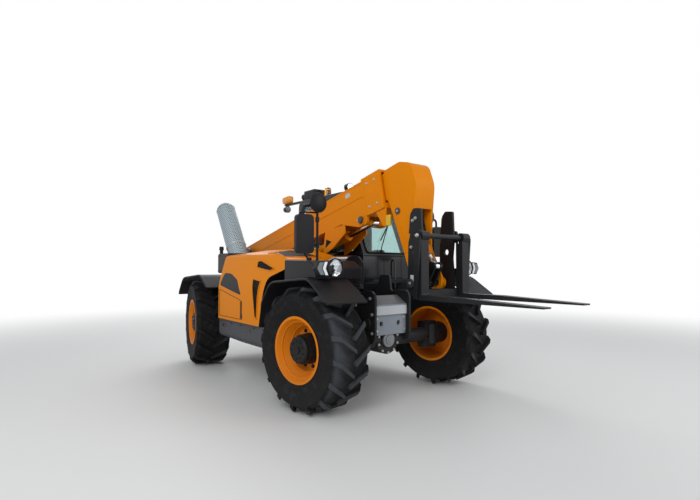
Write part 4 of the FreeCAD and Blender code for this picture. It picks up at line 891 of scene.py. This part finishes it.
slab("front_band", spot(.110, -.2345, .888), spot(.1455, .2345, .984), "bright_band", "machine", 0.004)
tint(PIECES["face_plate"], "slope_grey", lambda point, normal: normal.z > .55 and point.z > .98)
plate_corners = [spot(.1255, y, z) for y in (-.195, .195) for z in (.72, .85)]
heads("face_plate_screws", plate_corners, X, FACE_HEAD, "zinc", "machine")
nose_rows = [(NOSE + X * start, NOSE + X * end, radius) for start, end, radius in NOSE_STEPS]
bars("axle_nose", nose_rows, "cast_grey", "machine")
heads("axle_nose_screws", circle(NOSE + X * .092, X, NOSE_SCREW_CIRCLE, 10), X, PIN_HEAD, "zinc", "machine")
for side, tag in SIDES:
    out = Y * side
    stops = [NOSE + Vector((x, side * y, z)) for x, y, z in STEERING_HOSE]
    hose("steering_hose_" + tag, stops, 0.010, "hose", "machine")
    lip = side_outline(EAR_LIP, side * (EAR_FACE - HAIR))
    prism("ear_lip_" + tag, lip, out * -.029, "black_paint", "machine", 0.004)
    screws = side_outline(EAR_SCREWS, side * (EAR_FACE + HAIR))
    heads("ear_screws_" + tag, screws, out, LARGE_HEAD, "zinc", "machine")
    boss = spot(.06, side * EAR_FACE, .80)
    bars("ear_boss_" + tag, [(boss, boss + out * .014, .055)], "dark_steel", "machine")
    heads("lift_base_screw_" + tag, [LIFT_BASE + out * .0985], out, BASE_HEAD, "zinc", "machine")


# Lamps

LAMP_X, LAMP_Y, LAMP_Z = .430, .950, 1.400
LAMP_RADIUS = .0785
MARKER_CASE = ((1.030, 1.330), (1.030, 1.468), (1.130, 1.462), (1.162, 1.395), (1.120, 1.325))
MARKER_CHEVRON = ((1.038, 1.455), (1.066, 1.455), (1.090, 1.394), (1.060, 1.332), (1.032, 1.332),
                  (1.060, 1.394))
MARKER_LENS = ((1.078, 1.452), (1.124, 1.448), (1.150, 1.394), (1.114, 1.336), (1.072, 1.336),
               (1.101, 1.394))
MARKER_PARTS = (
    # name, outline, back of the lamp's face, depth, finish, edge radius
    ("marker_case_", MARKER_CASE, .075, .070, "plastic", 0.006),
    ("marker_chevron_", MARKER_CHEVRON, .006, .006, "white_lens", 0.001),
    ("marker_lens_", MARKER_LENS, .006, .005, "lens_tint", 0.001),
)
WORK_LAMPS = ((-1.07, .33), (-1.07, 1.06), (-2.18, .33), (-2.18, 1.06))
WORK_LAMP_Z = 2.492
TAIL_LAMP_MIDDLE = -3.512
TAIL_LAMP_SHIFT = 0.004
TAIL_LENS_START = .885
TAIL_LENS_PITCH = .058
TAIL_LENS_WIDTH = .05

for side, tag in SIDES:
    centre = spot(LAMP_X, side * LAMP_Y, LAMP_Z)
    bars("headlight_bowl_" + tag, [(centre - X * .011, centre - X * .009, .079)], "chrome", "machine")
    bars("headlight_bulb_" + tag, [(centre - X * .010, centre + X * .004, .022)], "white_lens", "machine")
    lens = [(centre - X * .006, centre - X * .001, LAMP_RADIUS),
            (centre - X * .001, centre + X * .006, LAMP_RADIUS, .045)]
    bars("headlight_lens_" + tag, lens, "lens", "machine", 0.001, 48)
    band("headlight_ring_" + tag, centre - X * .001, X, .085, .006, "plastic", "machine")
    for name, outline, back, depth, finish, edge in MARKER_PARTS:
        corners = front_outline(outline, LAMP_X - back, side)
        prism(name + tag, corners, X * depth, finish, "machine", edge)
    slab("turn_lamp_" + tag, spot(LAMP_X - .008, side * .975, 1.36), spot(LAMP_X - .002, side * .985, 1.43),
         "amber", "machine", 0.001)
    for k, finish in enumerate(("red", "amber", "red")):
        y = side * (TAIL_LENS_START + k * TAIL_LENS_PITCH)
        far = y + side * TAIL_LENS_WIDTH
        slab(f"tail_lens_{tag}_{k}", spot(-3.5185, y, 1.103), spot(-3.508, far, 1.160), finish, "machine")
# The lamps' rear faces sit deeper here than in the solids, so that their lenses stay inside the part's box
for vertex in PIECES["tail_lamps"].data.vertices:
    if vertex.co.x < FRONT_X + TAIL_LAMP_MIDDLE:
        vertex.co.x += TAIL_LAMP_SHIFT
for index, (x, y) in enumerate(WORK_LAMPS):
    way = X if x > -2 else -X
    face = spot(x, y, WORK_LAMP_Z) + way * .035
    bars(f"work_lamp_glass_{index}", [(face, face + way * .004, .047)], "lens", "machine")
    bars(f"work_lamp_bowl_{index}", [(face - way * .001, face + way * .001, .046)], "chrome", "machine")
bars("beacon_base", [(spot(-1.70, .42, 2.430), spot(-1.70, .42, 2.4625), .066)], "plastic", "machine")


# Mirrors

MIRROR_GLASS = ((.990, 1.575), (1.150, 1.575), (1.158, 1.733), (1.150, 1.890), (.990, 1.890),
                (.982, 1.733))
MIRROR_POST_Y = .900
MIRROR_CLAMPS = (1.60, 1.86)
CLAMP_HEIGHT = .05
WIDE_RADIUS = .094
MIRROR_ROD = 0.009

for side, x, tag in ((-1, .040, "right"), (1, -.170, "left")):
    glass = front_outline(MIRROR_GLASS, x + .0045, side)
    prism("mirror_glass_" + tag, glass, X * .002, "mirror", "machine", 0.0)
    wide = spot(x, side * .905, 2.050)
    shell = [(wide + X * .006, wide + X * .030, WIDE_RADIUS),
             (wide + X * .030, wide + X * .044, WIDE_RADIUS, .06)]
    bars("wide_mirror_" + tag, shell, "plastic", "machine", 0.004, 48)
    bars("wide_mirror_glass_" + tag, [(wide + X * .0035, wide + X * .0065, .086)], "mirror", "machine")
    band("wide_mirror_edge_" + tag, wide + X * .025, X, .0935, .007, "plastic", "machine")
    feet = [spot(x, side * MIRROR_POST_Y, z) for z in MIRROR_CLAMPS]
    clamps = [(foot, foot + Z * CLAMP_HEIGHT, .021) for foot in feet]
    bars("mirror_clamps_" + tag, clamps, "plastic", "machine")
stay = [spot(.068, -1.07, 1.56), spot(.064, -1.06, 1.53), spot(.050, -1.01, 1.49), spot(.047, -1.0, 1.47)]
hose("mirror_stay", stay, MIRROR_ROD, "plastic", "machine")
bars("mirror_stay_knob", [(spot(.047, -1.0, 1.465), spot(.047, -1.0, 1.50), .026)], "plastic", "machine")
upper_arm = [spot(.020, -1.09, 1.92), spot(.016, -1.09, 1.952), spot(.016, -.90, 1.956)]
hose("mirror_upper_arm", upper_arm, MIRROR_ROD, "plastic", "machine")


# Cab outside

SEAL_BEAD = 0.010
SEAL_CORNER = 0.05
RAIL_RADIUS = 0.010
SEALS = [
    # name, node, way of sight, corners
    ("side_window_seal", "cab_shell", (0, 1, 0),
     ((-2.20, .245, 1.61), (-.783, .245, 1.61), (-1.108, .245, 2.32), (-2.15, .245, 2.32))),
    ("quarter_window_seal", "cab_shell", (0, -1, 0),
     ((-2.20, 1.15, 1.47), (-1.75, 1.15, 1.47), (-1.75, 1.15, 2.32), (-2.17, 1.15, 2.32))),
    ("rear_window_seal", "cab_shell", (1, 0, 0),
     ((-2.3, .325, 1.49), (-2.3, 1.07, 1.49), (-2.27, 1.07, 2.30), (-2.27, .325, 2.30))),
    ("door_window_seal", "cab_door", (0, -1, 0),
     ((-1.585, 1.15, 1.32), (-.855, 1.15, 1.32), (-.857, 1.15, 1.56), (-1.17, 1.15, 2.265),
      (-1.585, 1.15, 2.265))),
    ("windscreen_seal", "cab_shell", (-1, 0, -0.45),
     ((-.66, .31, 1.592), (-.66, 1.085, 1.592), (-1.0, 1.085, 2.34), (-1.0, .31, 2.34))),
]
for name, node, way, corners in SEALS:
    bead(name, node, [spot(*c) for c in corners], way, SEAL_BEAD, "rubber", SEAL_CORNER, 0.03, 0.5)

SCREEN_FOOT = spot(-.660, 0, 1.595)
SCREEN_UP = Vector((-.39, 0, .86)).normalized()
SCREEN_OUT = Vector((.911, 0, .413))


def on_screen(rise, y, off):
    """A place on the windscreen: up its slope, y to the left and off its face."""
    return SCREEN_FOOT + Y * y + SCREEN_UP * rise + SCREEN_OUT * off


wiper = [on_screen(.015, .56, .012), on_screen(.05, .55, .030), on_screen(.40, .80, .020)]
hose("wiper_arm", wiper, 0.007, "plastic", "machine")
hose("wiper_blade", [on_screen(.18, .60, .012), on_screen(.62, .995, .012)], 0.008, "rubber", "machine")
front_handle = ((-.652, 1.06), (-.612, 1.075), (-.612, 1.49), (-.652, 1.505))
hose("cab_front_handle", side_outline(front_handle, .755), RAIL_RADIUS, "dark_steel", "machine")
door_grab = [spot(-1.60, y, z) for y, z in ((1.151, 1.22), (1.178, 1.235), (1.178, 1.60), (1.151, 1.615))]
hose("door_grab", door_grab, RAIL_RADIUS, "plastic", "door")

CAB_SLABS = [
    # name, low corner, high corner, finish, edge radius
    ("cab_front_seam_inner", (-.6505, .590, 1.03), (-.6485, .596, 1.545), "rubber", 0.0),
    ("cab_front_seam_outer", (-.6505, .897, 1.03), (-.6485, .903, 1.545), "rubber", 0.0),
    ("cab_front_rail", (-.652, .262, 1.548), (-.640, 1.135, 1.566), "plastic", 0.003),
    ("cab_front_lip", (-.652, .262, 1.190), (-.643, 1.135, 1.206), "plastic", 0.003),
    ("roof_box", (-2.125, .26, 2.4305), (-1.83, .56, 2.572), "plastic", 0.02),
    ("side_lamp_arm", (-2.74, .270, 2.405), (-2.21, .330, 2.435), "plastic", 0.006),
    ("side_lamp_amber", (-2.79, .245, 2.4365), (-2.57, .355, 2.565), "amber_solid", 0.035),
    ("roof_gutter", (-2.18, .2395, 2.340), (-1.12, .248, 2.360), "plastic", 0.003),
    ("roof_gutter_left", (-2.18, 1.147, 2.340), (-1.12, 1.1555, 2.360), "plastic", 0.003),
    ("step_tread_0", (-1.55, .885, .540), (-1.05, 1.085, .549), "tread", 0.001),
    ("step_tread_1", (-1.55, .885, .760), (-1.05, 1.085, .769), "tread", 0.001),
]
for name, low, high, finish, edge in CAB_SLABS:
    slab(name, spot(*low), spot(*high), finish, "machine", edge)
CAB_ROUNDS = [
    # name, start, end, radii, finish, edge radius
    ("side_lamp_dark", (-2.75, .30, 2.35), (-2.67, .30, 2.35), (.046, .056), "plastic", 0.004),
    ("side_lamp_dark_face", (-2.669, .30, 2.35), (-2.666, .30, 2.35), (.048,), "lens_tint", 0.001),
    ("side_lamp_dark_neck", (-2.71, .30, 2.385), (-2.71, .30, 2.408), (.016,), "plastic", 0.001),
    ("tank_cap", (-1.92, 1.0895, .86), (-1.92, 1.118, .86), (.052,), "plastic", 0.0015),
]
for name, start, end, radii, finish, edge in CAB_ROUNDS:
    bars(name, [(spot(*start), spot(*end), *radii)], finish, "machine", edge)
bars("wiper_hub", [(on_screen(.015, .56, -.01), on_screen(.015, .56, .024), .022)], "plastic", "machine")
cab_screws = [spot(x, .2448, z) for x in (-2.2, -1.6, -1.0) for z in (1.10, 1.50)]
heads("cab_side_screws", cab_screws, RIGHT, SMALL_HEAD, "dark_steel", "machine")


# Cab inside

SEAT_Y = .70
ARM_REST_Y = .255
BACK_UP = Vector((-.110, 0, .610)).normalized()
BACK_OUT = Vector((.610, 0, .110)).normalized()
# Shares of half a pad
CHANNEL_AT, CHANNEL_HALF, CHANNEL_DEPTH = 0.55, 0.09, 0.10
RIM_SHARE = 0.45
WAIST = 0.10
EDGE_POWER, CROWN_POWER = 5, 0.35


def cushion(name, origin, along, up, size):
    """A stuffed pad: its middle, the ways of its length and thickness, its size along, across and up."""
    bm = bmesh.new()
    bmesh.ops.create_cube(bm, size=2.0)
    bmesh.ops.subdivide_edges(bm, edges=bm.edges[:], cuts=11, use_grid_fill=True)
    for v in bm.verts:
        u, w, h = v.co
        near_edge = (1 - abs(u) ** EDGE_POWER) * (1 - abs(w) ** EDGE_POWER)
        crown = RIM_SHARE + (1 - RIM_SHARE) * near_edge ** CROWN_POWER
        if h > 0.4:
            crown *= 1 - CHANNEL_DEPTH * max(0.0, 1 - abs(abs(w) - CHANNEL_AT) / CHANNEL_HALF)
        waist = 1 - WAIST * abs(h) ** 3
        flat = along * u * waist * size[0] / 2 + Y * w * waist * size[1] / 2
        v.co = origin + flat + up * h * crown * size[2] / 2
    bmesh.ops.recalc_face_normals(bm, faces=bm.faces[:])
    obj = look(mesh_object(name, bm), "seat_cloth", "machine", 60.0)
    return obj


cushion("seat_pad", spot(-1.625, SEAT_Y, 1.452), X, Z, (.50, .44, .085))
back_middle = spot(-1.835, SEAT_Y, 1.70) + BACK_OUT * .012
cushion("seat_back_pad", back_middle, BACK_UP, BACK_OUT, (.50, .42, .085))
rest_middle = spot(-1.885, SEAT_Y, 1.985) + BACK_OUT * .010
cushion("head_rest_pad", rest_middle, BACK_UP, BACK_OUT, (.13, .26, .075))
for side, tag in SIDES:
    y = SEAT_Y + side * ARM_REST_Y
    stem = (spot(-1.83, y - .012, 1.55), spot(-1.79, y + .012, 1.63))
    root = (spot(-1.86, y, 1.545), spot(-1.79, SEAT_Y + side * .2, 1.57))
    slab("arm_rest_" + tag, spot(-1.80, y - .03, 1.60), spot(-1.48, y + .03, 1.635), "plastic", "machine",
         0.012, [stem, root])
stick = [(spot(-1.53, .445, 1.634), spot(-1.525, .445, 1.72), .010, .008),
         (spot(-1.525, .445, 1.71), spot(-1.52, .445, 1.78), .019, .022)]
bars("joystick", stick, "plastic", "machine", 0.003)
slab("dash_screen", spot(-.885, .42, 1.50), spot(-.872, .58, 1.60), "screen", "machine", 0.003)
slab("dash_screen_foot", spot(-.88, .48, 1.46), spot(-.868, .52, 1.51), "plastic", "machine")


# Engine side

MOUTH_RINGS = (
    # name, height up the stack, radius
    ("exhaust_mouth_ring_798", .798, .127),
    ("exhaust_mouth_ring_826", .826, .115),
    ("exhaust_mouth_ring_850", .850, .098),
    ("exhaust_mouth_ring_868", .868, .078),
)
COVER_EDGE = ((-.53, 1.185), (-.53, 1.525), (-.276, 1.525), (-.276, 1.185))

for name, rise, radius in MOUTH_RINGS:
    band(name, STACK_FOOT + LEAN * rise, LEAN, radius, .011, "perforated", "machine")
band("exhaust_foot_ring", STACK_FOOT + LEAN * .115, LEAN, STACK_RADIUS + HAIR, .006, "zinc", "machine")
intake = [(spot(-2.395, -.925, 1.585), spot(-2.395, -.925, 1.655), .024),
          (spot(-2.395, -.925, 1.65), spot(-2.395, -.925, 1.70), .034, .028)]
bars("air_intake", intake, "plastic", "machine", 0.004)
box_screws = [spot(x, -.9605, z) for x in (-2.40, -2.09) for z in (1.36, 1.565)]
heads("exhaust_box_screws", box_screws, RIGHT, SMALL_HEAD, "dark_steel", "machine")
cover_edge = [spot(0, y, z) for y, z in COVER_EDGE]
bead("tower_cover_edge", "tower_cover", cover_edge, -X, 0.005, "gloss_black", 0.14)
heads("cover_screws", [spot(.0, y, 1.215) for y in (-.49, -.32)], X, SMALL_HEAD, "dark_steel", "machine")


# Rear

weight_screws = [spot(-3.4205, y, z) for y in (-.29, .29) for z in (.64, 1.10)]
heads("weight_screws", weight_screws, -X, WEIGHT_HEAD, "dark_steel", "machine")
slab("rear_blank_plate", spot(-3.4245, -.26, 1.00), spot(-3.4205, .26, 1.12), "pale", "machine", 0.003)


# Fender edges

FENDER_REACHES = (
    # name, side, back end, front end
    ("fender_edge_front_right", -1, -.64, .60),
    ("fender_edge_rear_right", -1, -3.49, -2.31),
    ("fender_edge_front_left", 1, -.62, .60),
    ("fender_edge_rear_left", 1, -3.49, -2.31),
)
FENDER_Y = 1.166
FENDER_TOP = 1.6
EDGE_BEAD = .012
EDGE_SINK = .010
EDGE_STEPS = 40
for name, side, back, ahead in FENDER_REACHES:
    reach = [back + (ahead - back) * k / EDGE_STEPS for k in range(EDGE_STEPS + 1)]
    over = [spot(x, side * FENDER_Y, FENDER_TOP) for x in reach]
    edge = [laid(surface("fenders"), place, -Z, 0.2) - Z * EDGE_SINK for place in over]
    sweep(name, edge, EDGE_BEAD, "fender", "machine")


# Light, floor and camera

FLOOR_RADIUS = 60.0
FADE_START = 9.0
FADE_WIDTH = 4.0
SKY_STRENGTH = 0.45
LAMPS = (
    # name, place, size, power, aim
    ("key_lamp", (5.5, -7.5, 6.5), 5.0, 430.0, (-0.5, 0, 1.0)),
    ("fill_lamp", (7.0, 4.5, 4.5), 5.0, 150.0, (0, 0, 1.0)),
    ("back_lamp", (-6.5, 2.5, 6.0), 4.0, 200.0, (0, 0, 1.2)),
)


def pale_floor():
    """A round pale floor that fades into white."""
    floor = Finish("studio_floor", Roughness=0.6)
    floor.set(Base_Color=(0.78, 0.78, 0.77, 1))
    away = floor.node("ShaderNodeVectorMath", {"operation": "LENGTH"}, {0: floor.place}, "Value")
    white = floor.node("ShaderNodeEmission", {}, {"Color": (1, 1, 1, 1)})
    shader = Value(floor, floor.shader.outputs[0])
    fade = away.step(FADE_START, FADE_WIDTH)
    blend = floor.node("ShaderNodeMixShader", {}, {0: fade, 1: shader, 2: white})
    floor.put(floor.tree.nodes["Material Output"].inputs["Surface"], blend)
    bpy.ops.mesh.primitive_circle_add(vertices=64, radius=FLOOR_RADIUS, fill_type="NGON")
    ground = bpy.context.object
    ground.name = "floor"
    ground.data.materials.append(floor.material)
    return ground


def soft_sky():
    """A sky that lights the machine softly and shows as white to the camera, in glass and in metal."""
    world = bpy.data.worlds.new("soft_sky")
    bpy.context.scene.world = world
    world.use_nodes = True
    sky = Nodes(world.node_tree)
    direct, clear_way, mirrored = (sky.node("ShaderNodeLightPath", output=ray) for ray in (
        "Is Camera Ray", "Is Transmission Ray", "Is Glossy Ray"))
    seen = direct.maths("MAXIMUM", direct.maths("MAXIMUM", direct, clear_way), mirrored)
    soft = sky.node("ShaderNodeBackground", {}, {"Color": (0.93, 0.96, 1.0, 1), "Strength": SKY_STRENGTH})
    white = sky.node("ShaderNodeBackground", {}, {"Color": (1, 1, 1, 1), "Strength": 1.0})
    both = sky.node("ShaderNodeMixShader", {}, {0: seen, 1: soft, 2: white})
    sky.put(sky.tree.nodes["World Output"].inputs["Surface"], both)


def area_lamp(name, place, size, power, aim):
    """A square lamp that faces its aim."""
    light = bpy.data.lights.new(name, "AREA")
    light.size, light.energy = size, power
    lamp = bpy.data.objects.new(name, light)
    bpy.context.scene.collection.objects.link(lamp)
    lamp.location = place
    lamp.rotation_euler = (Vector(aim) - Vector(place)).to_track_quat("-Z", "Y").to_euler()
    return lamp


LENS_MM = 24.0
SENSOR_MM = 36.0
CAMERA_PLACE = spot(3.963, -3.456, 1.399)
CAMERA_HEADING = 142.889
CAMERA_PITCH = 2.198


def camera():
    """The photograph's own view, from the front right."""
    lens = bpy.data.cameras.new("photo_view")
    lens.lens, lens.sensor_width, lens.clip_end = LENS_MM, SENSOR_MM, 200.0
    view = bpy.data.objects.new("photo_view", lens)
    bpy.context.scene.collection.objects.link(view)
    view.location = CAMERA_PLACE
    view.rotation_euler = (radians(90 + CAMERA_PITCH), 0, radians(CAMERA_HEADING - 90))
    bpy.context.scene.camera = view


ground = pale_floor()
soft_sky()
lamps = [area_lamp(*row) for row in LAMPS]
camera()
bpy.context.scene.view_settings.view_transform = "Standard"
